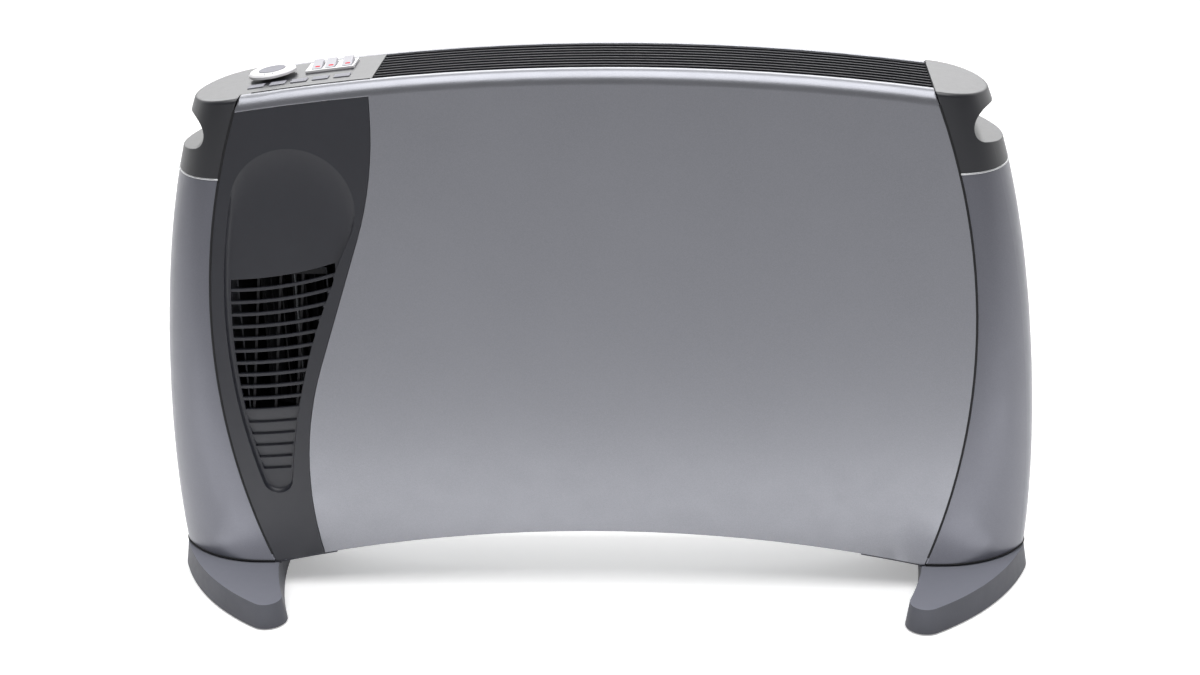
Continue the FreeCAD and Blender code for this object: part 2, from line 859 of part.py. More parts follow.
def end_tools():
    """Solids that shape both right-hand shells: full end, hollow, and what lies inside the seam."""
    full_end = end_loft("end_full", "0", INNER_X)
    hollow = end_loft("end_hollow", "wall", f"{INNER_X} - wall")
    inside = drum("inside_lip", SEAM_X, "seam_height", "seam_radius - lip")
    ring_cut = drum("inside_seam", SEAM_X, "seam_height", f"seam_radius + {HALF_GAP}")
    core = box("lip_core", "0", "half_width", f"-{INNER_Y}", INNER_Y, "-body_height", "2 * body_height")
    below_hem = drum("below_hem", "0", ARCH_Z, "top_radius - hem_depth - wall")
    lip_room = common("lip_room", core, below_hem)
    rebate = cut("rebate", ring_cut, lip_room)
    return full_end, hollow, inside, rebate


def side_cover(tools):
    full_end, hollow, inside, rebate = tools
    shell = cut("side_shell", full_end, hollow, inside, rebate)
    band = box("side_band", "0", "half_width + wall", "-half_depth - wall", "half_depth + wall",
               "skirt_height + cap_gap", f"{CAP_LINE} - cap_gap / 2")
    node("right_side_cover", common("right_side_cover", shell, band))
    node("left_side_cover", mirror("left_side_cover", NODES["right_side_cover"]))


def top_edges(shape):
    """Edges round the arched top of a blank cap, apart from its inner end."""
    top = number("top_radius")
    axis_z = number(ARCH_Z)
    inner = number(INNER_X)
    picked = []
    for index, edge in enumerate(shape.Edges, start=1):
        spots = [edge.valueAt(edge.FirstParameter + (edge.LastParameter - edge.FirstParameter) * s)
                 for s in (0.1, 0.5, 0.9)]
        on_top = all(abs(math.hypot(p.x, p.z - axis_z) - top) < NEAR for p in spots)
        if on_top and max(p.x for p in spots) > inner + NEAR:
            picked.append(index)
    return picked


def notch_slot(name, grow):
    """Finger grip through the end of a cap: a round bottom that opens outwards and slightly down."""
    sketch = free_sketch(name + "_outline", "XZ")
    rounds = [("notch_x", "body_height - notch_drop", f"notch_radius + {grow}"),
              ("notch_mouth_x", "body_height - notch_mouth_drop", f"notch_mouth_radius + {grow}")]
    links = [(f"notch_side_radius + {grow}", "out"), (f"notch_side_radius + {grow}", "out")]
    return prism(name, smooth_loop(sketch, rounds, links), "-half_depth - wall", "half_depth + wall")


def cap_blank(tools):
    full_end, hollow, inside, rebate = tools
    roof = drum("cap_roof", "0", ARCH_Z, "top_radius")
    block = common("cap_block", full_end, roof)
    doc.recompute()
    rounded = doc.addObject("Part::Fillet", "cap_rounded")
    rounded.Base = block
    radius = number("cap_round")
    rounded.Edges = [(index, radius, radius) for index in top_edges(block.Shape)]
    ceiling = drum("cap_ceiling", "0", ARCH_Z, "top_radius - wall")
    notch = notch_slot("notch", "0")
    notch_wall = notch_slot("notch_wall", "wall")
    room = cut("cap_room", common("cap_hollow", hollow, ceiling), notch_wall)
    shell = cut("cap_shell", rounded, notch, room, inside, rebate)
    band = box("cap_band", "0", "half_width + wall", "-half_depth - wall", "half_depth + wall",
               f"{CAP_LINE} + cap_gap / 2", "2 * body_height")
    return common("cap_right_blank", shell, band)


DECK_Y = "(half_depth - top_round - hem_flange - fit)"


def caps(tools):
    blank = cap_blank(tools)
    node("right_handle_cap", blank)
    left = mirror("cap_left_blank", blank)
    upper = drum("deck_upper", "0", ARCH_Z, "top_radius", f"-{DECK_Y}", DECK_Y)
    lower = drum("deck_lower", "0", ARCH_Z, "top_radius - wall")
    reach = box("deck_reach", f"-{SEAM_TOP_X} - deck_overlap", "-deck_end - fit", f"-{DECK_Y}", DECK_Y,
                CAP_LINE, "2 * body_height")
    plate = common("deck_plate", cut("deck_arch", upper, lower), reach)
    rib_ring = cut("deck_rib_ring", drum("deck_rib_upper", "0", ARCH_Z, "top_radius - wall / 2"),
                   drum("deck_rib_lower", "0", ARCH_Z, "top_radius - grille_height - grille_sink"))
    rib_box = box("deck_rib_box", "-deck_end - fit - wall", "-deck_end - fit", f"-{DECK_Y}", DECK_Y,
                  CAP_LINE, "2 * body_height")
    whole = fuse("control_blank", left, plate, common("deck_rib", rib_ring, rib_box))
    shaft_hole = cylinder("shaft_hole", Rotation(), ("0", "0", "0"), "bush_radius", "4 * wall")
    on_deck(shaft_hole, "knob_x", "knob_y", "2 * wall")
    window = new_body("switch_window")
    sketch = body_sketch(window, "switch_window_outline", "XY", "-2 * wall")
    rectangle(sketch, f"-({SWITCH_HALF_X}) - fit", f"{SWITCH_HALF_X} + fit",
              f"-({SWITCH_HALF_Y}) - fit", f"{SWITCH_HALF_Y} + fit")
    pad(window, "switch_window_pad", sketch, "4 * wall")
    on_deck(window, "bezel_x", "bezel_y")
    node("control_housing", cut("control_housing", whole, shaft_hole, window))


# Fan fascia

def fascia_outline(name, edge_shift, brow, side_inset, hem):
    """Front outline of the fascia; edge_shift moves the S-shaped edge, side_inset the edge at the seam."""
    top, first, second, end, inner, outer = fascia_edge(edge_shift, hem)
    left_z = arch_z(SEAM_TOP_X, brow)
    seam = f"({side_inset} + {HALF_GAP})"
    low_z = floor_z(seam_x(floor_z(seam_x("skirt_height", seam), hem), seam), hem)
    bottom = f"(bottom_radius + ({hem}))"
    sketch = free_sketch(name, "XZ")
    return outline(sketch, [
        (*end, outer, "left"),
        second,
        (*first, inner, "right"),
        top,
        (top[0], arch_z(top[0], brow), f"top_radius - ({brow})", "right"),
        ("-" + seam_x(left_z, seam), left_z, f"seam_radius - {seam}", "right"),
        ("-" + seam_x(low_z, seam), low_z, bottom, "left"),
    ])


def dish_outline(name, y, grow):
    """Teardrop in the face: a round head and a small round tail, a full left side and a hollow right side."""
    sketch = free_sketch(name, "XZ", y=y)
    rounds = [("dish_x", "body_height - dish_drop", f"dish_radius + {grow}"),
              ("dish_tail_x", "dish_tail_z", f"dish_tail_radius + {grow}")]
    links = [(f"dish_left_radius + {grow}", "out"), (f"dish_right_radius - {grow}", "in")]
    return smooth_loop(sketch, rounds, links)


def well_outline(name, y, margin):
    """Lower teardrop at the floor of the dish, drawn in by a margin."""
    sketch = free_sketch(name, "XZ", y=y)
    inset = f"(well_inset + {margin})"
    rounds = [("well_x", "body_height - well_drop", f"well_radius - {margin}"),
              ("dish_tail_x", "well_tail_z", f"dish_tail_radius - {inset}")]
    links = [(f"dish_left_radius - {inset}", "out"), (f"dish_right_radius + {inset}", "in")]
    return smooth_loop(sketch, rounds, links)


FASCIA_FACE = "-half_depth"
SKIN_BACK = "(sheet - half_depth)"
DISH_FLOOR = "(dish_depth - half_depth)"
DISH_BACK = "(dish_depth + dish_floor - half_depth)"
ROW_Z = "(body_height + row_rise)"


def row_rings():
    """Concentric rings that become the open rows between the bars."""
    body = new_body("open_rings")
    sketch = body_sketch(body, "open_rows_outline", "XZ")
    for k in range(count("open_rows")):
        start = f"row_start + row_pitch * {k}"
        ring(sketch, "row_x", ROW_Z, start)
        ring(sketch, "row_x", ROW_Z, f"{start} + row_pitch - row_bar")
    pad(body, "open_rows_pad", sketch, "half_depth + wall")
    return body


def blind_rings():
    """Wedge-shaped rings that become the closed louvres under the open rows."""
    body = new_body("blind_rings")
    sketch = body_sketch(body, "blind_rows_outline", "YZ")
    for k in range(count("blind_rows")):
        upper = f"row_start + row_pitch * (open_rows + {k}) + row_bar / 4"
        lower = f"row_start + row_pitch * (open_rows + {k + 1}) - row_bar / 4"
        outline(sketch, [
            (DISH_FLOOR, f"-({upper})"),
            (f"{DISH_FLOOR} - wall", f"-({upper})"),
            (f"{DISH_FLOOR} - wall", f"-({lower})"),
            (f"{DISH_FLOOR} + blind_depth", f"-({lower})"),
        ])
    spin(body, "blind_rows_turn", sketch, "Y_Axis")
    set_place(body, "row_x", "0", ROW_Z)
    return body


def fan_fascia():
    front = fascia_outline("fascia_outline", "fascia_gap", "top_round + fascia_gap", "0", "0")
    skin = prism("fascia_skin", front, FASCIA_FACE, SKIN_BACK)
    rear = fascia_outline("fascia_backing_outline", "-fascia_overlap", "top_round + wall",
                          "lip + lip_clearance", f"{TRAY_TOP} + fit")
    backing = prism("fascia_backing", rear, SKIN_BACK, f"{SKIN_BACK} + fascia_backing")
    round_dish = dish_outline("dish_bulge_outline", "0", "dish_rim")
    bulge = prism("dish_bulge", round_dish, SKIN_BACK, DISH_BACK)
    body = fuse("fascia_blank", skin, backing, bulge)
    rim = dish_outline("dish_rim_outline", FASCIA_FACE, "0")
    well = well_outline("dish_well_outline", DISH_FLOOR, "0")
    dish = loft("dish", [rim, well], ruled=True)
    zone = prism("row_zone", well_outline("row_zone_outline", "0", "row_margin"), "-half_depth - wall", "0")
    slots = common("open_slots", zone, row_rings())
    louvres = common("blind_louvres", zone, blind_rings())
    node("fan_fascia", cut("fan_fascia", body, dish, slots, louvres))


def fan_guard():
    """Three upright ribs and two rails behind the open rows."""
    y0 = DISH_BACK
    y1 = f"{DISH_BACK} + rib_depth"
    low = f"{FAN_LOW} + fan_sheet + fit"
    high = f"{FAN_HIGH} - fan_sheet - fit"
    reach = "fan_housing_radius - fan_sheet - fit"
    rails = []
    for k, z in enumerate((low, f"{high} - 2 * rib_width")):
        rails.append(box(f"guard_rail_{k}", f"fan_x - ({reach})", f"fan_x + {reach}", y0, y1,
                         z, f"{z} + 2 * rib_width"))
    ribs = []
    for k in (-1, 0, 1):
        body = new_body(f"guard_rib_{k + 1}")
        sketch = body_sketch(body, f"guard_rib_outline_{k + 1}", "XZ", f"-({y1})")
        shift = f"fan_x + rib_spread * {k}"
        lean = f"({FAN_HIGH} - {FAN_LOW}) * tan(rib_lean * 1deg)"
        outline(sketch, [
            (f"{shift} - {lean} - rib_width / 2", low),
            (f"{shift} - {lean} + rib_width / 2", low),
            (f"{shift} + rib_width / 2", high),
            (f"{shift} - rib_width / 2", high),
        ])
        pad(body, f"guard_rib_pad_{k + 1}", sketch, "rib_depth")
        ribs.append(body)
    node("fan_guard", fuse("fan_guard", *rails, *ribs))


# Top grille

GRILLE_END = f"({SEAM_TOP_X} - grille_gap)"


def top_grille():
    sketch = free_sketch("grille_section", "YZ")
    low = "body_height - grille_height - grille_sink"
    high = "body_height - grille_sink"
    rectangle(sketch, f"-{DECK_Y}", f"grille_rail - {DECK_Y}", low, high)
    rectangle(sketch, f"{DECK_Y} - grille_rail", DECK_Y, low, high)
    spread = f"(2 * {DECK_Y} - grille_rail) / (slat_count + 1)"
    for k in range(count("slat_count")):
        middle = f"(grille_rail / 2 - {DECK_Y} + {spread} * {k + 1})"
        rectangle(sketch, f"{middle} - slat_width / 2", f"{middle} + slat_width / 2", low, high)
    bars = turned("grille_bars", sketch, Y_AXIS, ("0", "0", ARCH_Z), ARCH_SWEEP)
    lower = drum("grille_lower", "0", ARCH_Z, "top_radius - grille_height - grille_sink + grille_rib_height",
                 f"-{DECK_Y}", DECK_Y)
    hollow = drum("grille_hollow", "0", ARCH_Z, "top_radius - grille_height - grille_sink")
    web = cut("grille_web", lower, hollow)
    step = f"({GRILLE_END} + deck_end - grille_rib_width) / (grille_rib_count - 1)"
    ribs = []
    for k in range(count("grille_rib_count")):
        x0 = f"-deck_end + {step} * {k}"
        stripe = box(f"grille_stripe_{k}", x0, f"{x0} + grille_rib_width", f"-{DECK_Y}", DECK_Y,
                     "0", "2 * body_height")
        ribs.append(common(f"grille_rib_{k}", web, stripe))
    reach = box("grille_reach", "-deck_end", GRILLE_END, "-half_depth", "half_depth",
                "0", "2 * body_height")
    node("top_grille", fuse("top_grille", common("grille_slats", bars, reach), *ribs))


# Feet

FOOT_SCREWS = [(sx, sy) for sx in ("", "-") for sy in ("", "-")]


def foot_screw_tool(name, sx, sy, radius, start="-flange_thickness - screw_length",
                    length="4 * screw_length"):
    """Cylinder square to the arched underside at a foot screw; start is measured from the arch's edge."""
    x = f"{sx}foot_screw_x"
    item = doc.addObject("Part::Cylinder", name)
    item.Placement = Placement(Vector(), TILT)
    bind(item, "Radius", radius)
    bind(item, "Height", length)
    bind(item, "Placement.Rotation.Angle", f"{sx}asin(foot_screw_x / bottom_radius)")
    share = f"(1 + ({start}) / bottom_radius)"
    set_place(item, f"{x} * {share}", f"{sy}foot_screw_y",
              f"{FLOOR_Z} + {share} * sqrt(bottom_radius^2 - foot_screw_x^2)")
    return item


def foot_outline(name, inset, z):
    sketch = free_sketch(name, "XY", z=z)
    toe_y = "foot_reach - foot_toe_round"
    rounds = [
        ("foot_tip_x - foot_tip_round", "0", f"foot_tip_round - ({inset})"),
        ("foot_toe_x", toe_y, f"foot_toe_round - ({inset})"),
        ("foot_toe_x", f"-({toe_y})", f"foot_toe_round - ({inset})"),
    ]
    links = [
        (f"foot_side_radius - ({inset})", "out"),
        (f"foot_inner_radius + {inset}", "in"),
        (f"foot_side_radius - ({inset})", "out"),
    ]
    return smooth_loop(sketch, rounds, links)


def right_foot():
    sole = foot_outline("foot_sole", "0", "foot_lift")
    crown = foot_outline("foot_crown", "foot_draft", "foot_height")
    slab = loft("foot_slab", [sole, crown], ruled=True)
    hollow_low = foot_outline("foot_hollow_low", "foot_wall", "foot_lift - fit")
    hollow_high = foot_outline("foot_hollow_high", "foot_draft + foot_wall", "foot_height - foot_wall")
    hollow = loft("foot_hollow", [hollow_low, hollow_high], ruled=True)
    toe_y = "(foot_reach - foot_toe_round)"
    seats = []
    for k, sign in enumerate(("", "-")):
        seats.append(post(f"foot_seat{k}", "foot_toe_x", f"{sign}{toe_y}", "pad_thickness",
                          "foot_height - foot_wall / 2", "pad_radius"))
    plinth = new_body("foot_plinth")
    plan = body_sketch(plinth, "plinth_outline", "XY", "foot_height - foot_wall / 2")
    end_outline(plan, "skirt_height", "plinth_inset", f"{CORNER_X} - plinth_margin")
    pad(plinth, "plinth_pad", plan, "skirt_height + cap_gap - foot_height + foot_wall / 2")
    side = "(half_depth - wall - fit)"
    upper = drum("flange_upper", "0", FLOOR_Z, "bottom_radius + tray_lift", f"-{side}", side)
    lower = drum("flange_lower", "0", FLOOR_Z, "bottom_radius + tray_lift - flange_thickness")
    reach = box("flange_reach_box", "flange_reach", f"{CORNER_X} + plinth_margin",
                "-half_depth", "half_depth", "0", "body_height / 2")
    flange = common("foot_flange", cut("flange_arch", upper, lower), reach)
    whole = fuse("foot_whole", cut("foot_shell", slab, hollow), *seats, plinth, flange)
    holes = [foot_screw_tool(f"foot_hole{k}", "", sy, "screw_shank") for k, sy in enumerate(("", "-"))]
    node("right_foot", cut("right_foot", whole, *holes))
    node("left_foot", mirror("left_foot", NODES["right_foot"]))


def foot_pads():
    discs = []
    for k, (sx, sy) in enumerate(FOOT_SCREWS):
        discs.append(post(f"foot_disc_{k}", f"{sx}foot_toe_x", f"{sy}(foot_reach - foot_toe_round)", "0",
                          "pad_thickness", "pad_radius - fit"))
    node("foot_pads", group("foot_pads", *discs))


def foot_screws():
    screws = []
    under = "tray_lift - flange_thickness"
    for k, (sx, sy) in enumerate(FOOT_SCREWS):
        head = foot_screw_tool(f"foot_screw_head_{k}", sx, sy, "screw_head", f"{under} - screw_head_height",
                               "screw_head_height")
        shank = foot_screw_tool(f"foot_screw_shank_{k}", sx, sy, "screw_shank - screw_clearance", under,
                                "screw_length")
        screws.append(fuse(f"foot_screw_{k}", head, shank))
    node("foot_screws", group("foot_screws", *screws))


def rear_screws():
    screws = []
    for k, (x, z) in enumerate(REAR_SCREWS):
        head = drum(f"rear_head_{k}", x, z, "screw_head", "half_depth", "half_depth + screw_head_height")
        shank = drum(f"rear_shank_{k}", x, z, "screw_shank - screw_clearance",
                     "half_depth - screw_length", "half_depth")
        screws.append(fuse(f"rear_screw_{k}", head, shank))
    node("rear_screws", group("rear_screws", *screws))


# Thermostat

KNOB_TOP = "(knob_lift + knob_height)"
KNOB_SEAT = f"({KNOB_TOP} - knob_cap_sink)"
KNOB_CEILING = "(nut_height + knob_gap)"
KNOB_BORE = f"(({KNOB_SEAT} + {KNOB_CEILING}) / 2)"
CASE_TOP = "(-wall - fit)"


def thermostat_body():
    case = new_body("thermostat_body")
    plan = body_sketch(case, "thermostat_plan", "XY", CASE_TOP)
    rectangle(plan, "-thermostat_width / 2", "thermostat_width / 2",
              "-thermostat_depth / 2", "thermostat_depth / 2")
    pad(case, "thermostat_case", plan, "thermostat_height", backwards=True)
    neck = body_sketch(case, "thermostat_neck", "XY", CASE_TOP)
    ring(neck, "0", "0", "bush_radius - fit")
    pad(case, "thermostat_bush", neck, f"nut_height - {CASE_TOP}")
    doc.recompute()
    bore = body_sketch(case, "thermostat_bore", "XY", "nut_height")
    ring(bore, "0", "0", "shaft_radius + shaft_clearance")
    pocket(case, "thermostat_hole", bore, f"nut_height - {CASE_TOP} + thermostat_height / 2")
    on_deck(case, "knob_x", "knob_y")
    node("thermostat_body", case)


def thermostat_nut():
    nut = new_body("thermostat_nut")
    hexagon = body_sketch(nut, "nut_outline", "XY")
    side = "nut_width / 2 / cos(30deg)"
    outline(hexagon, [(f"{side} * cos({60 * k}deg)", f"{side} * sin({60 * k}deg)") for k in range(6)])
    ring(hexagon, "0", "0", "bush_radius - fit")
    pad(nut, "nut_pad", hexagon, "nut_height")
    on_deck(nut, "knob_x", "knob_y")
    node("thermostat_nut", nut)


def thermostat_shaft():
    shaft = new_body("thermostat_shaft")
    low = f"({CASE_TOP} - thermostat_height / 2 + fit)"
    section = body_sketch(shaft, "shaft_section", "XY", low)
    ring(section, "0", "0", "shaft_radius")
    pad(shaft, "shaft_pad", section, f"{KNOB_BORE} - {low}")
    on_deck(shaft, "knob_x", "knob_y")
    node("thermostat_shaft", shaft)


def thermostat_knob():
    knob = new_body("thermostat_knob")
    profile = body_sketch(knob, "knob_profile", "XZ")
    hollow = "(nut_width / 2 / cos(30deg) + knob_gap)"
    bore = "(shaft_radius + shaft_clearance)"
    outline(profile, [
        ("0", KNOB_BORE),
        (bore, KNOB_BORE),
        (bore, KNOB_CEILING),
        (hollow, KNOB_CEILING),
        (hollow, "knob_gap"),
        (f"{hollow} + knob_hub_wall", "knob_gap"),
        (f"{hollow} + knob_hub_wall", "knob_lift"),
        ("knob_radius", "knob_lift"),
        ("knob_radius", f"{KNOB_TOP} - knob_edge"),
        ("knob_radius - knob_edge", KNOB_TOP),
        ("knob_cap_radius + fit", KNOB_TOP),
        ("knob_cap_radius + fit", KNOB_SEAT),
        ("0", KNOB_SEAT),
    ])
    spin(knob, "knob_turn", profile, "Z_Axis")
    on_deck(knob, "knob_x", "knob_y")
    node("thermostat_knob", knob)


def knob_cap():
    cap = new_body("knob_cap")
    disc = body_sketch(cap, "knob_cap_outline", "XY", KNOB_SEAT)
    ring(disc, "0", "0", "knob_cap_radius")
    pad(cap, "knob_cap_pad", disc, "knob_cap_sink + knob_cap_rise")
    on_deck(cap, "knob_x", "knob_y")
    node("knob_cap", cap)


# Rocker switches

ROCKERS = {
    "rocker_low_heat": "rocker_first",
    "rocker_high_heat": "rocker_second",
    "rocker_fan": "rocker_third",
}
WELL_HALF_X = "(rocker_width / 2 + rocker_gap)"
THROW_SIN = "sin(rocker_throw * 1deg)"
THROW_COS = "cos(rocker_throw * 1deg)"
ROCKER_CROWN = f"((rocker_pin_drop + bezel_rise + rocker_face + rocker_half * {THROW_SIN}) / {THROW_COS})"
WELL_HALF_Y = f"(rocker_half * {THROW_COS} + {ROCKER_CROWN} * {THROW_SIN} + rocker_gap)"
SWITCH_HALF_X = f"(rocker_third + {WELL_HALF_X} + switch_wall)"
SWITCH_HALF_Y = f"({WELL_HALF_Y} + switch_wall)"
PIN_Z = "(-rocker_pin_drop)"


def rocker_wells(sketch):
    """Three openings that the rockers move in."""
    for offset in ROCKERS.values():
        rectangle(sketch, f"{offset} - {WELL_HALF_X}", f"{offset} + {WELL_HALF_X}",
                  f"-{WELL_HALF_Y}", WELL_HALF_Y)


def switch_bezel():
    bezel = new_body("switch_bezel")
    plate = body_sketch(bezel, "bezel_outline", "XY")
    rectangle(plate, "-bezel_width / 2", "bezel_width / 2", "-bezel_depth / 2", "bezel_depth / 2")
    rocker_wells(plate)
    pad(bezel, "bezel_pad", plate, "bezel_rise")
    on_deck(bezel, "bezel_x", "bezel_y")
    node("switch_bezel", bezel)


def switch_housing():
    block = new_body("switch_housing")
    outer = body_sketch(block, "housing_outline", "XY")
    rectangle(outer, f"-{SWITCH_HALF_X}", SWITCH_HALF_X, f"-{SWITCH_HALF_Y}", SWITCH_HALF_Y)
    pad(block, "housing_pad", outer, "switch_depth", backwards=True)
    doc.recompute()
    wells = body_sketch(block, "housing_wells", "XY")
    rocker_wells(wells)
    pocket(block, "housing_wells_cut", wells, "switch_depth - 2 * switch_wall")
    doc.recompute()
    bores = body_sketch(block, "housing_bores", "YZ")
    ring(bores, "0", PIN_Z, "rocker_pin + rocker_pin_clearance")
    pocket(block, "housing_bores_cut", bores, "4 * bezel_width", midplane=True)
    on_deck(block, "bezel_x", "bezel_y")
    node("switch_housing", block)


def switch_tabs():
    tabs = new_body("switch_tabs")
    feet = body_sketch(tabs, "tab_outline", "XY", "-switch_depth")
    for offset in ROCKERS.values():
        for row in (-1, 1):
            middle = f"rocker_half / 2 * {row}"
            rectangle(feet, f"{offset} - tab_width / 2", f"{offset} + tab_width / 2",
                      f"{middle} - tab_thickness / 2", f"{middle} + tab_thickness / 2")
    pad(tabs, "tab_pad", feet, "tab_length", backwards=True)
    on_deck(tabs, "bezel_x", "bezel_y")
    node("switch_tabs", tabs)


def rocker(name, offset):
    """Rocker at rest with its front end down: a flat face tilted by the throw about the pin."""
    body = new_body(name)
    side = body_sketch(body, name + "_side", "YZ", offset)
    edge = f"({ROCKER_CROWN} - rocker_edge)"
    corners = [
        ("-rocker_half", ROCKER_CROWN),
        ("-rocker_half", edge),
        ("-rocker_root", "-2 * rocker_pin"),
        ("rocker_root", "-2 * rocker_pin"),
        ("rocker_half", edge),
        ("rocker_half", ROCKER_CROWN),
    ]
    tilted = []
    for u, v in corners:
        y = f"({u}) * {THROW_COS} - ({v}) * {THROW_SIN}"
        z = f"{PIN_Z} + ({u}) * {THROW_SIN} + ({v}) * {THROW_COS}"
        tilted.append((y, z))
    outline(side, tilted)
    pad(body, name + "_pad", side, "rocker_width", midplane=True)
    pins = body_sketch(body, name + "_pin", "YZ", offset)
    ring(pins, "0", PIN_Z, "rocker_pin")
    pad(body, name + "_pins", pins, "rocker_width + 2 * rocker_gap + switch_wall", midplane=True)
    on_deck(body, "bezel_x", "bezel_y")
    return body


def rockers():
    for name, offset in ROCKERS.items():
        node(name, rocker(name, offset))


def legend_pads():
    pads = []
    for k in range(count("legend_count")):
        body = new_body(f"legend_{k}")
        plan = body_sketch(body, f"legend_outline_{k}", "XY")
        rectangle(plan, "-legend_width / 2", "legend_width / 2", "-legend_depth / 2", "legend_depth / 2")
        pad(body, f"legend_pad_{k}", plan, "legend_rise")
        on_deck(body, f"legend_start + legend_pitch * {k}", "legend_y")
        pads.append(body)
    node("legend_pads", group("legend_pads", *pads))


# Heating elements

CHAMBER_LEFT = f"({DIVIDER_X} + sheet)"
CHAMBER_RIGHT = "(right_frame_x - sheet)"


def heating_elements():
    pins = []
    insulators = []
    for label, z in (("element_lower", "element_low"), ("element_upper", "element_high")):
        body = new_body(label)
        sketch = body_sketch(body, label + "_profile", "YZ", f"{CHAMBER_LEFT} + element_gap")
        y = "fin_reach_y"
        up = "fin_reach_z"
        thick = "fin_thickness"
        core = "element_core"
        outline(sketch, [
            (y, f"{z} + {up} - {thick}"),
            (y, f"{z} + {up}"),
            (core, f"{z} + {core}"),
            (f"-{core}", f"{z} + {core}"),
            (f"-{y}", f"{z} + {up}"),
            (f"-{y}", f"{z} + {up} - {thick}"),
            (f"-{core}", f"{z} + {core} - 2 * {thick}"),
            (f"-{core}", f"{z} - {core} + 2 * {thick}"),
            (f"-{y}", f"{z} - {up} + {thick}"),
            (f"-{y}", f"{z} - {up}"),
            (f"-{core}", f"{z} - {core}"),
            (core, f"{z} - {core}"),
            (y, f"{z} - {up}"),
            (y, f"{z} - {up} + {thick}"),
            (core, f"{z} - {core} + 2 * {thick}"),
            (core, f"{z} + {core} - 2 * {thick}"),
        ])
        pad(body, label + "_bar", sketch, f"{CHAMBER_RIGHT} - {CHAMBER_LEFT} - 2 * element_gap")
        node(label, body)
        for side, (web, way) in enumerate(((CHAMBER_LEFT, "-"), (CHAMBER_RIGHT, ""))):
            insulators.append(insulator(f"{label}_insulator{side}", web, way, z))
            pins.append(element_pin(f"{label}_pin{side}", web, way, z))
    node("element_insulators", group("element_insulators", *insulators))
    node("element_pins", group("element_pins", *pins))


def span(start, way, near, far):
    """Two X positions measured outwards from a web: near and far along the way out of the chamber."""
    if way == "-":
        return f"{start} - ({far})", f"{start} - ({near})"
    return f"{start} + ({near})", f"{start} + ({far})"


def insulator(name, web, way, z):
    inner = span(web, way, "-element_gap", "0")
    through = span(web, way, "-sheet", "sheet + insulator_flange_thickness")
    flange = rod(name + "_flange", *inner, "0", z, "insulator_flange")
    sleeve = rod(name + "_sleeve", *through, "0", z, "insulator_radius - fit")
    bore = rod(name + "_bore", *span(web, way, "-2 * element_gap", "2 * element_gap"), "0", z, "element_pin")
    return cut(name, fuse(name + "_solid", flange, sleeve), bore)


def element_pin(name, web, way, z):
    return rod(name, *span(web, way, "-element_gap", "element_pin_length"), "0", z, "element_pin")


def thermal_cutout():
    start = CHAMBER_LEFT
    base = box("cutout_plate", start, f"{start} + sheet", "-2 * cutout_radius", "2 * cutout_radius",
               "cutout_z - cutout_radius", "cutout_z + cutout_radius")
    can = rod("cutout_can", start, f"{start} + cutout_height", "0", "cutout_z", "cutout_radius")
    node("thermal_cutout", fuse("thermal_cutout", base, can))


# Turbo fan

STACK_LOW = f"({FAN_HIGH} + stack_rise)"
IMPELLER_LOW = f"({FAN_LOW} + fan_sheet + impeller_gap)"
IMPELLER_HIGH = f"({FAN_HIGH} - fan_sheet - impeller_gap)"
STACK_HIGH = f"({STACK_LOW} + stack_height)"
STRAP_LOW = f"({STACK_LOW} - strap_standoff)"
STRAP_HIGH = f"({STACK_HIGH} + strap_standoff)"
MOTOR_TOP = f"({STRAP_HIGH} + 2 * strap_thickness)"
BEARING_LOW = f"({FAN_LOW} - bearing_height)"
STACK_HALF = "stack_width / 2"


def fan_plan(sketch, radius, front):
    """U-shaped plan: straight sides in front, a half circle behind."""
    return outline(sketch, [
        (f"-({radius})", front),
        (radius, front),
        (radius, "0", radius, "right"),
        ("0", radius, radius, "right"),
        (f"-({radius})", "0"),
    ])


def fan_housing():
    body = new_body("fan_housing")
    plan = body_sketch(body, "housing_plan", "XY", FAN_LOW)
    fan_plan(plan, "fan_housing_radius", DISH_BACK)
    pad(body, "fan_housing_block", plan, f"{FAN_HIGH} - {FAN_LOW}")
    doc.recompute()
    room = body_sketch(body, "housing_room", "XY", f"{FAN_LOW} + fan_sheet")
    fan_plan(room, "fan_housing_radius - fan_sheet", f"{DISH_BACK} - wall")
    pocket(body, "fan_housing_room", room, f"{FAN_HIGH} - {FAN_LOW} - 2 * fan_sheet", backwards=True)
    doc.recompute()
    holes = body_sketch(body, "housing_holes", "XY", f"{FAN_LOW} - wall")
    ring(holes, "0", "0", "bearing_radius - wall / 2")
    pocket(body, "fan_housing_holes", holes, f"{FAN_HIGH} - {FAN_LOW} + 2 * wall", backwards=True)
    set_place(body, "fan_x")
    node("fan_housing", body)


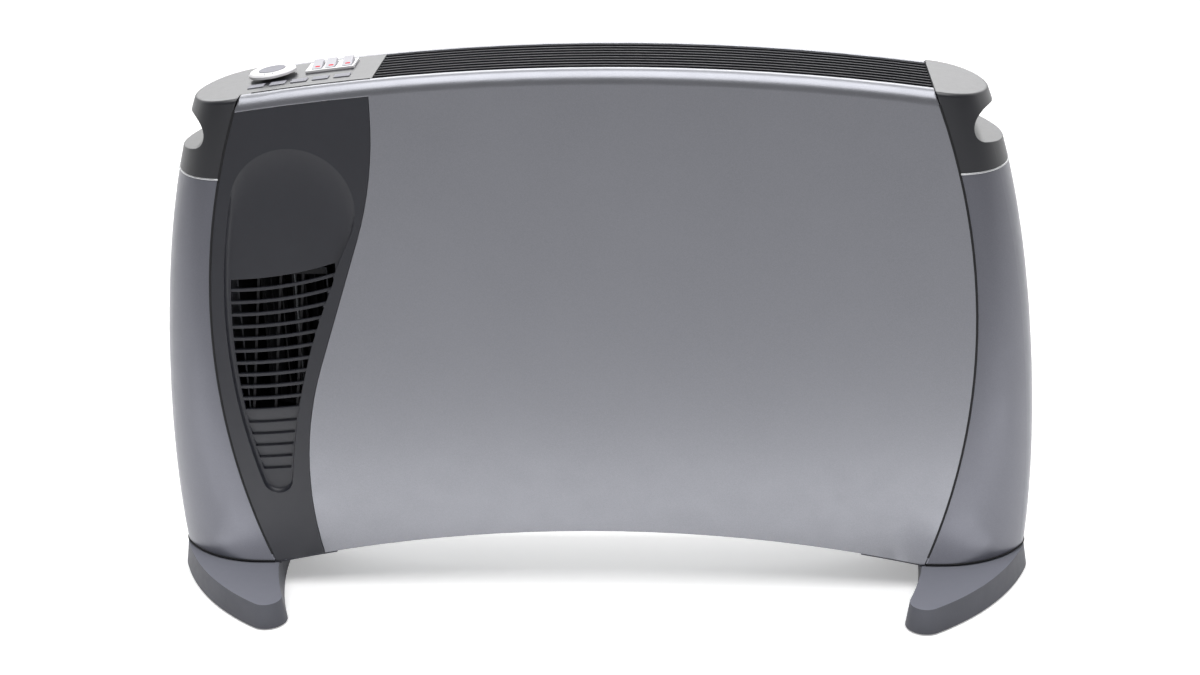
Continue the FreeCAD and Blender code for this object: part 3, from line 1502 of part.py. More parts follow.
def fan_impeller():
    body = new_body("fan_impeller")
    lower = body_sketch(body, "impeller_lower", "XY", IMPELLER_LOW)
    ring(lower, "0", "0", "impeller_radius")
    ring(lower, "0", "0", "fan_shaft_radius")
    pad(body, "impeller_lower_disc", lower, "impeller_disc")
    blade = body_sketch(body, "impeller_blade", "XY", IMPELLER_LOW)
    rectangle(blade, "impeller_radius - blade_inset - blade_width", "impeller_radius - blade_inset",
              "-blade_thickness / 2", "blade_thickness / 2")
    first = pad(body, "impeller_blade_pad", blade, f"{IMPELLER_HIGH} - {IMPELLER_LOW}")
    doc.recompute()
    fan = body.newObject("PartDesign::PolarPattern", "impeller_blades")
    fan.Originals = [first]
    fan.Axis = (origin_part(body, "Z_Axis"), [""])
    fan.Angle = 360
    bind(fan, "Occurrences", "blade_count")
    body.Tip = fan
    upper = body_sketch(body, "impeller_upper", "XY", f"{IMPELLER_HIGH} - impeller_disc")
    ring(upper, "0", "0", "impeller_radius")
    ring(upper, "0", "0", "fan_shaft_radius")
    pad(body, "impeller_upper_disc", upper, "impeller_disc")
    hub = body_sketch(body, "impeller_hub_ring", "XY", IMPELLER_LOW)
    ring(hub, "0", "0", "impeller_hub")
    ring(hub, "0", "0", "fan_shaft_radius")
    pad(body, "impeller_hub_pad", hub, "3 * impeller_disc")
    set_place(body, "fan_x")
    node("fan_impeller", body)


def fan_shaft():
    shaft = post("fan_shaft", "fan_x", "0", BEARING_LOW, MOTOR_TOP, "fan_shaft_radius")
    node("fan_shaft", shaft)


def fan_rotor():
    solid = post("rotor_solid", "fan_x", "0", f"{STACK_LOW} - rotor_overhang",
                 f"{STACK_HIGH} + rotor_overhang", "rotor_radius")
    bore = post("rotor_bore", "fan_x", "0", "0", "body_height", "fan_shaft_radius")
    node("fan_rotor", cut("fan_rotor", solid, bore))


def fan_bearing():
    flange = post("bearing_flange", "fan_x", "0", f"{FAN_LOW} - wall", FAN_LOW, "bearing_radius")
    neck = post("bearing_neck", "fan_x", "0", BEARING_LOW, f"{FAN_LOW} + fan_sheet",
                "bearing_radius - wall / 2 - fit")
    bore = post("bearing_bore", "fan_x", "0", "0", "body_height",
                "fan_shaft_radius + fan_shaft_clearance")
    node("fan_bearing", cut("fan_bearing", fuse("bearing_solid", flange, neck), bore))


def fan_stator():
    stack = new_body("fan_stator")
    plan = body_sketch(stack, "stack_plan", "XY", STACK_LOW)
    rectangle(plan, f"-{STACK_HALF}", STACK_HALF, "-stack_front", "stack_back")
    window_front = "rotor_radius + rotor_gap + stack_bridge"
    rectangle(plan, f"stack_leg - {STACK_HALF}", f"{STACK_HALF} - stack_leg",
              window_front, "stack_back - stack_leg")
    ring(plan, "0", "0", "rotor_radius + rotor_gap")
    for sign in ("", "-"):
        ring(plan, f"{sign}motor_post_x", "0", "motor_post_radius")
    pad(stack, "stack_pad", plan, "stack_height")
    set_place(stack, "fan_x")
    node("fan_stator", stack)


def fan_coil():
    coil = new_body("fan_coil")
    wound = body_sketch(coil, "coil_section", "YZ")
    leg = ("stack_back - stack_leg", "stack_back")
    rectangle(wound, f"{leg[0]} - coil_build", f"{leg[1]} + coil_build", f"{STACK_LOW} - coil_build",
              f"{STACK_HIGH} + coil_build")
    rectangle(wound, f"{leg[0]} - fit", f"{leg[1]} + fit", f"{STACK_LOW} - fit", f"{STACK_HIGH} + fit")
    pad(coil, "coil_pad", wound, "coil_width", midplane=True)
    set_place(coil, "fan_x")
    node("fan_coil", coil)


def motor_straps():
    straps = []
    for k, z in enumerate((STRAP_LOW, STRAP_HIGH)):
        strap = new_body(f"motor_strap_{k}")
        sketch = body_sketch(strap, f"strap_plan_{k}", "XY", z)
        rectangle(sketch, f"-{STACK_HALF}", STACK_HALF, "-strap_width / 2", "strap_width / 2")
        ring(sketch, "0", "0", "fan_shaft_radius + fan_shaft_clearance")
        for sign in ("", "-"):
            ring(sketch, f"{sign}motor_post_x", "0", "motor_post_radius")
        pad(strap, f"strap_pad_{k}", sketch, "strap_thickness")
        set_place(strap, "fan_x")
        straps.append(strap)
    node("motor_straps", group("motor_straps", *straps))


def motor_posts():
    posts = []
    for k, sign in enumerate(("+", "-")):
        posts.append(post(f"motor_post_{k}", f"fan_x {sign} motor_post_x", "0", FAN_HIGH, MOTOR_TOP,
                          "motor_post_radius"))
    node("motor_posts", group("motor_posts", *posts))


def fan_brackets():
    x0 = "fan_x + fan_housing_radius"
    arms = []
    for k, z in enumerate((FAN_LOW, f"{FAN_HIGH} - bracket_depth")):
        arms.append(box(f"fan_bracket_{k}", x0, DIVIDER_X, "bracket_y", "bracket_y + bracket_sheet",
                        z, f"{z} + bracket_depth"))
    node("fan_brackets", group("fan_brackets", *arms))


# Mains inlet

def cord_inlet_bush():
    face = "half_depth"
    outer = drum("bush_outer", "inlet_x", "inlet_z", "bush_flange_radius", face,
                 f"{face} + bush_flange_height")
    neck = drum("bush_neck", "inlet_x", "inlet_z", "bush_body_radius", f"{face} - bush_inside", face)
    catch = drum("bush_catch", "inlet_x", "inlet_z", "bush_flange_radius", f"{face} - bush_inside",
                 f"{face} - sheet - fit")
    bore = drum("bush_bore", "inlet_x", "inlet_z", "cable_radius")
    node("cord_inlet_bush", cut("cord_inlet_bush", fuse("bush_solid", outer, neck, catch), bore))


def terminal_block():
    block = box("terminal_block", f"{DIVIDER_X} - block_width", DIVIDER_X, "0", "block_length", "block_low",
                "block_low + block_height")
    node("terminal_block", block)


front_panel()
rear_panel()
base_tray()
frames()
heat_shield()
END_TOOLS = end_tools()
side_cover(END_TOOLS)
caps(END_TOOLS)
fan_fascia()
fan_guard()
top_grille()
right_foot()
foot_pads()
foot_screws()
rear_screws()
thermostat_body()
thermostat_nut()
thermostat_shaft()
thermostat_knob()
knob_cap()
switch_bezel()
switch_housing()
switch_tabs()
rockers()
legend_pads()
heating_elements()
thermal_cutout()
fan_housing()
fan_impeller()
fan_shaft()
fan_rotor()
fan_bearing()
fan_stator()
fan_coil()
motor_straps()
motor_posts()
fan_brackets()
cord_inlet_bush()
terminal_block()
doc.recompute()

faults = [item.Name for item in doc.Objects if "Invalid" in item.State or "Error" in item.State]
for label, item in NODES.items():
    if item.Shape.isNull() or not item.Shape.isValid() or not item.Shape.Solids:
        faults.append(label)
if faults:
    raise SystemExit("failed objects: " + ", ".join(faults))

os.makedirs("parts", exist_ok=True)
for label, item in NODES.items():
    item.Shape.exportStep(f"parts/{label}.step")
print(len(NODES), "sub-parts written")
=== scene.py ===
import json
import math

import bmesh
import bpy
from mathutils import Matrix, Vector
from mathutils.bvhtree import BVHTree
from mathutils.geometry import convex_hull_2d


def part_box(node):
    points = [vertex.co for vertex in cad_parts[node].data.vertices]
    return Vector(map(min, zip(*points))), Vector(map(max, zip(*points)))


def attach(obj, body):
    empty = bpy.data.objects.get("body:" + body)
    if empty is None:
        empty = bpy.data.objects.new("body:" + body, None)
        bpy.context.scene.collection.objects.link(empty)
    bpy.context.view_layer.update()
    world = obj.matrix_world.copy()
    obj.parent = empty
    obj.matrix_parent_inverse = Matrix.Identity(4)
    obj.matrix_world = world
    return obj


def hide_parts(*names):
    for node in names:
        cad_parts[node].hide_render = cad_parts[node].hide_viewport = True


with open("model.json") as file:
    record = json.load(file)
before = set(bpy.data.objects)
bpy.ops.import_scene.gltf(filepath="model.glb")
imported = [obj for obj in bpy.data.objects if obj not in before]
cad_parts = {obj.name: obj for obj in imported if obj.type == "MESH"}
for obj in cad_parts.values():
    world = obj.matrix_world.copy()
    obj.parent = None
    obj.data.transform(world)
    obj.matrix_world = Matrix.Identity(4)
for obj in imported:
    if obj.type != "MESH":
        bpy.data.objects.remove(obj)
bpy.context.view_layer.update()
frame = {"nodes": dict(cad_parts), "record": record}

MM = 0.001
DOWN = Vector((0, 0, -1))
SKY = 1.0  # a height above the heater, where rays that look down begin
OUTSIDE = 0.36  # an x beyond the heater's ends, where rays that look inward begin

GRAIN_SEED = 3.7  # moves the noises off the middle of each piece
BEVEL_SAMPLES = 6
SHARP_ANGLE = math.radians(30)  # an edge that turns less is shaded smooth

DISH_DEPTH = 4.0 * MM
DISH_STEPS = 12
DISH_BEND = 3.5
DISH_LEAN = (-0.9999, -0.2)  # the y of the normals on the dish's slope

TABLET_CORNER = 0.45  # corner radius, as a share of the width
TABLET_TOP = (0.9, 0.82, 1)  # how far the top draws in
ROCKER_MARK = (4.2 * MM, 2.0 * MM, 0.08 * MM)  # length, width and height above the surface
ROCKER_MARK_INSET = 3.4 * MM
KNOB_MARK = (1.1 * MM, 3.4 * MM, 0.06 * MM)
KNOB_MARK_INSET = 3.6 * MM
KNOB_MARK_LEAN = 0.22

COVER_HIGHLIGHT_RADIUS = 0.7 * MM
FOOT_SHADE_RADIUS = 0.8 * MM
SEAM_SHADE_RADIUS = 0.95 * MM
DECK_JOINT_RADIUS = 0.55 * MM
CAP_JOINT_RADIUS = 0.6 * MM

FLOOR_RADIUS = 14
FLOOR_LEVEL = -0.0002
FLOOR_GLOW = 0.3
FLOOR_SHADE_SPAN = (-0.45, -0.26)  # the y where the paper is all grey, a painted shade for the dim room in front, and where it is white again

ROOM_FRONT = 0.24
ROOM_BACK = 1.0
ROOM_TURN = (-0.15, 0.75)  # the y of the directions between which the room brightens

LAMPS = (  # name, place, the point that it faces, width, height, radiance
    ("overhead", (0, -0.3, 1.6), (0, -0.3, 0.3), 1.8, 1.5, 3.6),
    ("kicker", (0, -0.2, 0.002), (0, -0.2, 1.0), 1.4, 0.14, 0.58),
    ("behind", (0, 3.6, 1.9), (0, 0, 0.4), 5.0, 1.6, 2.8),
    ("left_bounce", (-0.285, -0.083, 0.022), (-0.285, -0.083, 1.0), 0.10, 0.068, 0.75),
    ("right_bounce", (0.285, -0.083, 0.022), (0.285, -0.083, 1.0), 0.10, 0.068, 0.75),
)

CAMERA_PLACE = Vector((110.733, -1441.518, 785.577)) * MM
CAMERA_TURN = (-4.22678, 22.21660, -1.69726)  # yaw, pitch down and roll in degrees
CAMERA_LENS = 59.926
CAMERA_SENSOR = 36


def srgb(red, green, blue):
    """Linear colour of an sRGB colour in 0 to 255, with full alpha."""
    def linear(value):
        share = value / 255
        return share / 12.92 if share <= 0.04045 else ((share + 0.055) / 1.055) ** 2.4
    return (linear(red), linear(green), linear(blue), 1.0)


def scaled(colour, share):
    """A colour made lighter or darker by a share."""
    return tuple(min(1.0, part * share) for part in colour[:3]) + (1.0,)


class Finish:
    """A material with one Principled surface, and short ways to add its detail."""

    def __init__(self, name, rough, metallic=0.0, level=0.5, coat=0.0, coat_rough=0.1):
        self.material = bpy.data.materials.new(name)
        self.material.use_nodes = True
        self.tree = self.material.node_tree
        self.tree.nodes.clear()
        out = self.tree.nodes.new("ShaderNodeOutputMaterial")
        self.surface = self.tree.nodes.new("ShaderNodeBsdfPrincipled")
        self.tree.links.new(self.surface.outputs["BSDF"], out.inputs["Surface"])
        self.surface.inputs["Roughness"].default_value = rough
        self.surface.inputs["Metallic"].default_value = metallic
        self.surface.inputs["Specular IOR Level"].default_value = level
        self.surface.inputs["Coat Weight"].default_value = coat
        self.surface.inputs["Coat Roughness"].default_value = coat_rough
        self.place = self.tree.nodes.new("ShaderNodeTexCoord").outputs["Object"]

    def put(self, socket, value):
        """Links a value that is a socket, and sets any other."""
        if isinstance(value, bpy.types.NodeSocket):
            self.tree.links.new(value, socket)
        else:
            socket.default_value = value

    def stretch(self, scale):
        """The object's own coordinates, scaled along each axis."""
        node = self.tree.nodes.new("ShaderNodeMapping")
        node.inputs["Scale"].default_value = scale
        node.inputs["Location"].default_value = (GRAIN_SEED,) * 3
        self.tree.links.new(self.place, node.inputs["Vector"])
        return node.outputs["Vector"]

    def noise(self, scale, detail=3.0, rough=0.55, along=(1, 1, 1)):
        """Noise with so many features to a metre."""
        node = self.tree.nodes.new("ShaderNodeTexNoise")
        self.tree.links.new(self.stretch(along), node.inputs["Vector"])
        node.inputs["Scale"].default_value = scale
        node.inputs["Detail"].default_value = detail
        node.inputs["Roughness"].default_value = rough
        return node.outputs["Fac"]

    def cells(self, scale, along=(1, 1, 1)):
        """A random level in each small cell, as in metal flake or zinc spangle."""
        node = self.tree.nodes.new("ShaderNodeTexVoronoi")
        self.tree.links.new(self.stretch(along), node.inputs["Vector"])
        node.inputs["Scale"].default_value = scale
        split = self.tree.nodes.new("ShaderNodeSeparateColor")
        self.tree.links.new(node.outputs["Color"], split.inputs["Color"])
        return split.outputs["Red"]

    def bands(self, scale, axis, distortion):
        """Even bands across an axis, as in stacked sheets or wound wire."""
        node = self.tree.nodes.new("ShaderNodeTexWave")
        node.bands_direction = axis
        self.tree.links.new(self.place, node.inputs["Vector"])
        node.inputs["Scale"].default_value = scale
        node.inputs["Distortion"].default_value = distortion
        return node.outputs["Fac"]

    def spread(self, level, low, high, start=0.3, end=0.7):
        """A level between start and end, spread to run from low to high."""
        node = self.tree.nodes.new("ShaderNodeMapRange")
        self.tree.links.new(level, node.inputs["Value"])
        node.inputs["From Min"].default_value = start
        node.inputs["From Max"].default_value = end
        node.inputs["To Min"].default_value = low
        node.inputs["To Max"].default_value = high
        return node.outputs["Result"]

    def mix(self, level, first, second):
        """Two colours mixed by a level."""
        node = self.tree.nodes.new("ShaderNodeMix")
        node.data_type = "RGBA"
        self.tree.links.new(level, node.inputs["Factor"])
        for name, value in (("A", first), ("B", second)):
            socket = [s for s in node.inputs if s.name == name and s.type == "RGBA"][0]
            self.put(socket, value)
        return [s for s in node.outputs if s.type == "RGBA"][0]

    def part_of(self, vector, axis):
        """One part of a vector."""
        split = self.tree.nodes.new("ShaderNodeSeparateXYZ")
        self.tree.links.new(vector, split.inputs["Vector"])
        return split.outputs[axis]

    def upward(self):
        """How far the surface faces up."""
        return self.part_of(self.tree.nodes.new("ShaderNodeNewGeometry").outputs["Normal"], "Z")

    def rounded(self, radius):
        """The surface direction with the edges rounded over."""
        node = self.tree.nodes.new("ShaderNodeBevel")
        node.samples = BEVEL_SAMPLES
        node.inputs["Radius"].default_value = radius
        return node.outputs["Normal"]

    def edges(self, normal):
        """How far the rounded direction leaves the flat one: 1 along an edge, 0 on a face."""
        flat = self.tree.nodes.new("ShaderNodeNewGeometry").outputs["True Normal"]
        node = self.tree.nodes.new("ShaderNodeVectorMath")
        node.operation = "DOT_PRODUCT"
        self.tree.links.new(normal, node.inputs[0])
        self.tree.links.new(flat, node.inputs[1])
        return self.spread(node.outputs["Value"], 1.0, 0.0, start=0.8, end=0.97)

    def colour(self, value):
        """The colour of the surface."""
        self.put(self.surface.inputs["Base Color"], value)

    def rough(self, value):
        """The roughness of the surface."""
        self.put(self.surface.inputs["Roughness"], value)

    def bump(self, height, distance, strength, normal=None):
        """Fine relief, on top of a rounded direction where there is one."""
        node = self.tree.nodes.new("ShaderNodeBump")
        node.inputs["Distance"].default_value = distance
        node.inputs["Strength"].default_value = strength
        self.tree.links.new(height, node.inputs["Height"])
        if normal is not None:
            self.tree.links.new(normal, node.inputs["Normal"])
        self.tree.links.new(node.outputs["Normal"], self.surface.inputs["Normal"])


def silver_paint(name, tone, metallic, radius, edge_wear_and_highlight):
    """Satin silver enamel: fine metal flake, a trace of orange peel, and lighter edges, partly thinner
    paint and partly a painted highlight.
    """
    finish = Finish(name, rough=0.35, metallic=metallic, coat=0.1, coat_rough=0.25)
    soft = finish.rounded(radius)
    flake = finish.mix(finish.cells(scale=2600), scaled(tone, 0.93), scaled(tone, 1.07))
    clouds = finish.spread(finish.noise(scale=9, detail=2), 0.0, 0.3)
    cloudy = finish.mix(clouds, flake, scaled(tone, 1.12))
    # lighter edges: partly thinner paint, partly a painted edge highlight
    finish.colour(finish.mix(finish.edges(soft), cloudy, scaled(tone, edge_wear_and_highlight)))
    finish.rough(finish.spread(finish.noise(scale=60, detail=4), 0.31, 0.37))
    finish.bump(finish.noise(scale=420, detail=2), 0.03 * MM, 0.25, soft)
    return finish.material


def moulded(name, tone, rough, radius, edge_wear_and_highlight=1.5, depth=0.04 * MM, level=0.5, cloudy=1.0, painted_top_light=1.0):
    """Spark-textured plastic: fine even grain, faint flow clouds, lighter edges (partly rubbed, partly
    a painted highlight), and lighter tops where asked, a painted top light.
    """
    finish = Finish(name, rough, level=level)
    soft = finish.rounded(radius)
    pale, deep = scaled(tone, 1 + 0.07 * cloudy), scaled(tone, 1 - 0.07 * cloudy)
    clouds = finish.mix(finish.spread(finish.noise(scale=26, detail=3), 0.0, 1.0), deep, pale)
    specks = finish.spread(finish.noise(scale=2200, detail=1), 0.0, 0.35, start=0.55, end=0.8)
    speckled = finish.mix(specks, clouds, scaled(tone, 1.3))
    # lighter edges: partly rubbed plastic, partly a painted edge highlight
    wear_and_painted_light = finish.mix(finish.edges(soft), speckled, scaled(tone, edge_wear_and_highlight))
    # painted top light: faces that look up get a lighter tone, so tops read lighter than walls
    if painted_top_light > 1.0:
        painted_top_light_mask = finish.spread(finish.upward(), 0.0, 0.9, start=0.5, end=0.95)
        wear_and_painted_light = finish.mix(painted_top_light_mask, wear_and_painted_light, scaled(tone, painted_top_light))
    finish.colour(wear_and_painted_light)
    gloss = finish.noise(scale=180, detail=3)
    finish.rough(finish.spread(gloss, rough - 0.04 * cloudy, rough + 0.04 * cloudy))
    finish.bump(finish.noise(scale=1600, detail=2), depth, 0.5, soft)
    return finish.material


def bare_metal(name, tone, rough, spangle, along=(1, 1, 1)):
    """Uncoated metal: crystals or drawn lines in its tone, uneven gloss."""
    finish = Finish(name, rough, metallic=1.0)
    soft = finish.rounded(0.3 * MM)
    patches = finish.mix(finish.cells(spangle, along), scaled(tone, 0.82), scaled(tone, 1.1))
    stains = finish.spread(finish.noise(scale=30, detail=4), 0.0, 0.4)
    finish.colour(finish.mix(stains, patches, scaled(tone, 0.7)))
    finish.rough(finish.spread(finish.noise(scale=140, detail=4), rough - 0.08, rough + 0.1))
    finish.bump(finish.noise(scale=900, detail=3, rough=0.6, along=along), 0.03 * MM, 0.35, soft)
    return finish.material


def layered(name, tone, axis, scale, metallic, rough):
    """Stacked sheets or turns of wire, seen as even fine lines."""
    finish = Finish(name, rough, metallic=metallic)
    lines = finish.bands(scale, axis, distortion=0.4)
    finish.colour(finish.mix(lines, scaled(tone, 0.45), scaled(tone, 1.15)))
    finish.rough(finish.spread(finish.noise(scale=300, detail=3), rough - 0.06, rough + 0.08))
    finish.bump(lines, 0.2 * MM, 0.6)
    return finish.material


def glazed(name, tone):
    """Fired ceramic: a matt body with pinholes and pale clouds."""
    finish = Finish(name, rough=0.55)
    soft = finish.rounded(0.4 * MM)
    clouds = finish.spread(finish.noise(scale=70, detail=4), 0.0, 1.0)
    finish.colour(finish.mix(clouds, scaled(tone, 0.88), tone))
    finish.rough(finish.spread(finish.noise(scale=400, detail=2), 0.48, 0.66))
    finish.bump(finish.noise(scale=1300, detail=3), 0.08 * MM, 0.5, soft)
    return finish.material


FINISHES = {
    "casing_grey": silver_paint(
        "casing_silver", srgb(137, 138, 144), metallic=0.75, radius=0.9 * MM, edge_wear_and_highlight=1.4),
    # the casing's silver paint in a darker tone: a painted shade for the side covers, whose ends turn
    # away from the light
    "side_grey": silver_paint(
        "shaded_side_silver", srgb(108, 109, 117), metallic=0.6, radius=1.6 * MM, edge_wear_and_highlight=2.4),
    "charcoal": moulded(
        "fascia_charcoal", srgb(38, 39, 46), rough=0.44, radius=0.6 * MM),
    "cap_plastic": moulded(
        "cap_charcoal", srgb(25, 26, 32), rough=0.36, radius=1.2 * MM, level=0.7, cloudy=0.25),
    # the foot's top faces are painted lighter than its walls, a painted top light
    "foot_grey": moulded(
        "foot_charcoal", srgb(88, 89, 96), rough=0.5, radius=0.9 * MM, edge_wear_and_highlight=1.3, level=0.2, painted_top_light=2.4),
    "grille_grey": moulded(
        "grille_charcoal", srgb(28, 28, 33), rough=0.55, radius=0.5 * MM, edge_wear_and_highlight=2.6, level=0.2),
    "white_plastic": moulded(
        "white_moulding", srgb(216, 215, 217), rough=0.34, radius=0.5 * MM, edge_wear_and_highlight=1.04,
        depth=0.02 * MM, cloudy=0.3),
    "rocker_plastic": moulded(
        "rocker_moulding", srgb(172, 171, 177), rough=0.45, radius=0.4 * MM, edge_wear_and_highlight=1.2,
        depth=0.02 * MM, cloudy=0.3),
    "trim_grey": moulded(
        "trim_moulding", srgb(136, 136, 143), rough=0.6, radius=0.3 * MM, edge_wear_and_highlight=1.2, level=0.15),
    "inner_plastic": moulded(
        "inner_moulding", srgb(44, 43, 42), rough=0.5, radius=0.4 * MM),
    "fan_plastic": moulded(
        "fan_moulding", srgb(26, 26, 29), rough=0.55, radius=0.3 * MM, level=0.2),
    "zinc_steel": bare_metal(
        "zinc_sheet", srgb(128, 131, 134), rough=0.5, spangle=130),
    "aluminium": bare_metal(
        "drawn_aluminium", srgb(205, 206, 208), rough=0.36, spangle=700, along=(0.05, 1, 1)),
    "ceramic": glazed(
        "fired_ceramic", srgb(226, 219, 203)),
    "brass": bare_metal(
        "turned_brass", srgb(196, 160, 92), rough=0.3, spangle=800, along=(1, 1, 0.1)),
    "copper_wire": layered(
        "enamelled_winding", srgb(168, 84, 42), "Z", scale=320, metallic=0.85, rough=0.35),
    "lamination": layered(
        "steel_lamination", srgb(122, 124, 128), "Z", scale=300, metallic=0.9, rough=0.45),
    "black_sheet": bare_metal(
        "blackened_sheet", srgb(52, 53, 56), rough=0.6, spangle=300),
    # black rubber; the same finish makes the black beads that are a painted shade in the seams and
    # above the feet
    "rubber": moulded(
        "rubber_and_shade_black", srgb(34, 34, 36), rough=0.7, radius=0.5 * MM, edge_wear_and_highlight=1.6,
        depth=0.08 * MM, level=0.3),
}

OWN_FINISH = {
    "fan_housing": "black_sheet",
    "fan_brackets": "black_sheet",
    "motor_straps": "black_sheet",
    "fan_guard": "fan_plastic",
}


def dress_nodes():
    """Each sub-part takes the finish of its material slot; what surrounds the fan is blackened."""
    for entry in frame["record"]["subparts"]:
        slots = frame["nodes"][entry["node"]].data.materials
        slots.clear()
        slots.append(FINISHES[OWN_FINISH.get(entry["node"], entry["material_slot"])])


def surface_of(name):
    """A tree of a node's faces, to find its surface along a ray."""
    mesh = frame["nodes"][name].data
    corners = [vertex.co.copy() for vertex in mesh.vertices]
    return BVHTree.FromPolygons(corners, [list(face.vertices) for face in mesh.polygons])


def mesh_from(form, name):
    """A new mesh with the form in it; the form is used up."""
    mesh = bpy.data.meshes.new(name)
    form.to_mesh(mesh)
    form.free()
    return mesh


def placed(name, data):
    """A new object in the scene."""
    piece = bpy.data.objects.new(name, data)
    bpy.context.scene.collection.objects.link(piece)
    return piece


def hollow_faces(form, face_y, floor_y):
    """The sloping faces between the rim of the fascia's dish and its floor."""
    slack = 0.02 * MM
    return [face for face in form.faces if DISH_LEAN[0] < face.normal.y < DISH_LEAN[1]
            and all(face_y - slack < corner.co.y < floor_y + slack for corner in face.verts)]


def hollow_dish():
    """The fascia with its dish hollowed like a scoop: steep under the rim and level at its floor."""
    form = bmesh.new()
    form.from_mesh(frame["nodes"]["fan_fascia"].data)
    bmesh.ops.remove_doubles(form, verts=form.verts, dist=0.002 * MM)
    face_y = min(corner.co.y for corner in form.verts)
    floor_y = face_y + DISH_DEPTH
    for step in range(1, DISH_STEPS):
        slope = hollow_faces(form, face_y, floor_y)
        parts = {part for face in slope for part in (face, *face.edges, *face.verts)}
        level = face_y + DISH_DEPTH * step / DISH_STEPS
        bmesh.ops.bisect_plane(form, geom=list(parts), dist=0.001 * MM,
                               plane_co=(0, level, 0), plane_no=(0, 1, 0))
    slope = bmesh.ops.triangulate(form, faces=hollow_faces(form, face_y, floor_y))["faces"]
    for corner in {corner for face in slope for corner in face.verts}:
        share = min(max((corner.co.y - face_y) / DISH_DEPTH, 0.0), 1.0)
        corner.co.y = face_y + DISH_DEPTH * (1 - (1 - share) ** DISH_BEND)
    form.normal_update()
    inside = set(slope)
    for face in form.faces:
        face.smooth = True
    for edge in form.edges:
        at_rim = len(inside.intersection(edge.link_faces)) == 1
        edge.smooth = edge.is_manifold and not at_rim and edge.calc_face_angle() < SHARP_ANGLE
    mesh = mesh_from(form, "fascia_scoop")
    mesh.materials.append(FINISHES["charcoal"])
    piece = placed("fascia_scoop", mesh)
    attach(piece, "casing")
    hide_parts("fan_fascia")


def tablet(name, node, place, size, turn, finish, body):
    """A small tablet with rounded corners, let into the top of a node by half its thickness."""
    length, width, height = size
    spot, normal, _, _ = surface_of(node).ray_cast(Vector((*place, SKY)), DOWN)
    form = bmesh.new()
    bmesh.ops.create_grid(form, x_segments=1, y_segments=1, size=0.5)
    bmesh.ops.scale(form, vec=(length, width, 1), verts=form.verts)
    bmesh.ops.bevel(form, geom=form.verts[:], offset=width * TABLET_CORNER, segments=5,
                    profile=0.5, affect="VERTICES")
    top = bmesh.ops.extrude_face_region(form, geom=form.faces[:])
    raised = [item for item in top["geom"] if isinstance(item, bmesh.types.BMVert)]
    bmesh.ops.translate(form, vec=(0, 0, height * 2), verts=raised)
    bmesh.ops.scale(form, vec=TABLET_TOP, verts=raised)
    bmesh.ops.recalc_face_normals(form, faces=form.faces)
    mesh = mesh_from(form, name)
    upright = normal.to_track_quat("Z", "Y").to_matrix().to_4x4()
    spin = Matrix.Rotation(turn - upright.to_euler().z, 4, "Z")
    mesh.transform(Matrix.Translation(spot - normal * height) @ upright @ spin)
    mesh.materials.append(finish)
    piece = placed(name, mesh)
    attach(piece, body)


def rocker_marks():
    """A red tablet near the front end of each rocker, which tells that it is on."""
    red = moulded("signal_red", srgb(200, 14, 40), rough=0.6, radius=0.2 * MM, edge_wear_and_highlight=1.1,
                  depth=0.01 * MM, level=0.1)
    rockers = {"rocker_low_heat": "low_heat_rocker", "rocker_high_heat": "high_heat_rocker",
               "rocker_fan": "fan_rocker"}
    for node, body in rockers.items():
        low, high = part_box(node)
        place = ((low.x + high.x) / 2, low.y + ROCKER_MARK_INSET)
        tablet(body + "_mark", node, place, ROCKER_MARK, 0.0, red, body)


def knob_marks():
    """Two short pointer marks on the front rim of the thermostat knob."""
    ink = moulded("pointer_grey", srgb(96, 96, 104), rough=0.4, radius=0.2 * MM, depth=0.01 * MM)
    low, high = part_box("thermostat_knob")
    centre = (low + high) / 2
    ring = (high.x - low.x) / 2 - KNOB_MARK_INSET
    for side, lean in (("left", -KNOB_MARK_LEAN), ("right", KNOB_MARK_LEAN)):
        place = (centre.x + ring * math.sin(lean), centre.y - ring * math.cos(lean))
        tablet("knob_mark_" + side, "thermostat_knob", place, KNOB_MARK, lean, ink, "knob")


def bead(name, points, radius, finish):
    """A slim round bead along a line of points on the casing."""
    data = bpy.data.curves.new(name, "CURVE")
    data.dimensions = "3D"
    data.bevel_depth = radius
    data.bevel_resolution = 3
    data.use_fill_caps = True
    line = data.splines.new("POLY")
    line.points.add(len(points) - 1)
    for knot, place in zip(line.points, points):
        knot.co = (*place, 1.0)
    data.materials.append(finish)
    piece = placed(name, data)
    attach(piece, "casing")


def cover_rim(side, height):
    """The outer edge of a side cover at its top or bottom, from front to back."""
    slack, lip = 0.01 * MM, 2.0 * MM
    mesh = frame["nodes"][side + "_side_cover"].data
    rim = [vertex.co for vertex in mesh.vertices if abs(height - vertex.co.z) < slack]
    ring = [rim[index] for index in convex_hull_2d([place.xy for place in rim])]
    inner = min(abs(place.x) for place in ring)
    outer = [place for place in ring if abs(place.x) - inner > lip]
    return sorted(outer, key=lambda place: math.atan2(place.y, abs(place.x) - inner))


def cover_highlight_and_shade_beads():
    """A bright bead round the top edge of each side cover, a painted highlight for the edge that
    catches the light, and a black bead above each foot, a painted shade for the gap there.
    """
    lift, drop = 0.05 * MM, 0.4 * MM
    for side in ("left", "right"):
        low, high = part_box(side + "_side_cover")
        # bright bead: a painted highlight along the cover's top edge
        line = [(place.x, place.y, high.z + lift) for place in cover_rim(side, high.z)]
        bead(side + "_cover_highlight_bead", line, COVER_HIGHLIGHT_RADIUS, FINISHES["aluminium"])
        # black bead: a painted shade in the gap between cover and foot
        line = [(place.x, place.y, low.z - drop) for place in cover_rim(side, low.z)]
        bead(side + "_foot_shade_bead", line, FOOT_SHADE_RADIUS, FINISHES["rubber"])


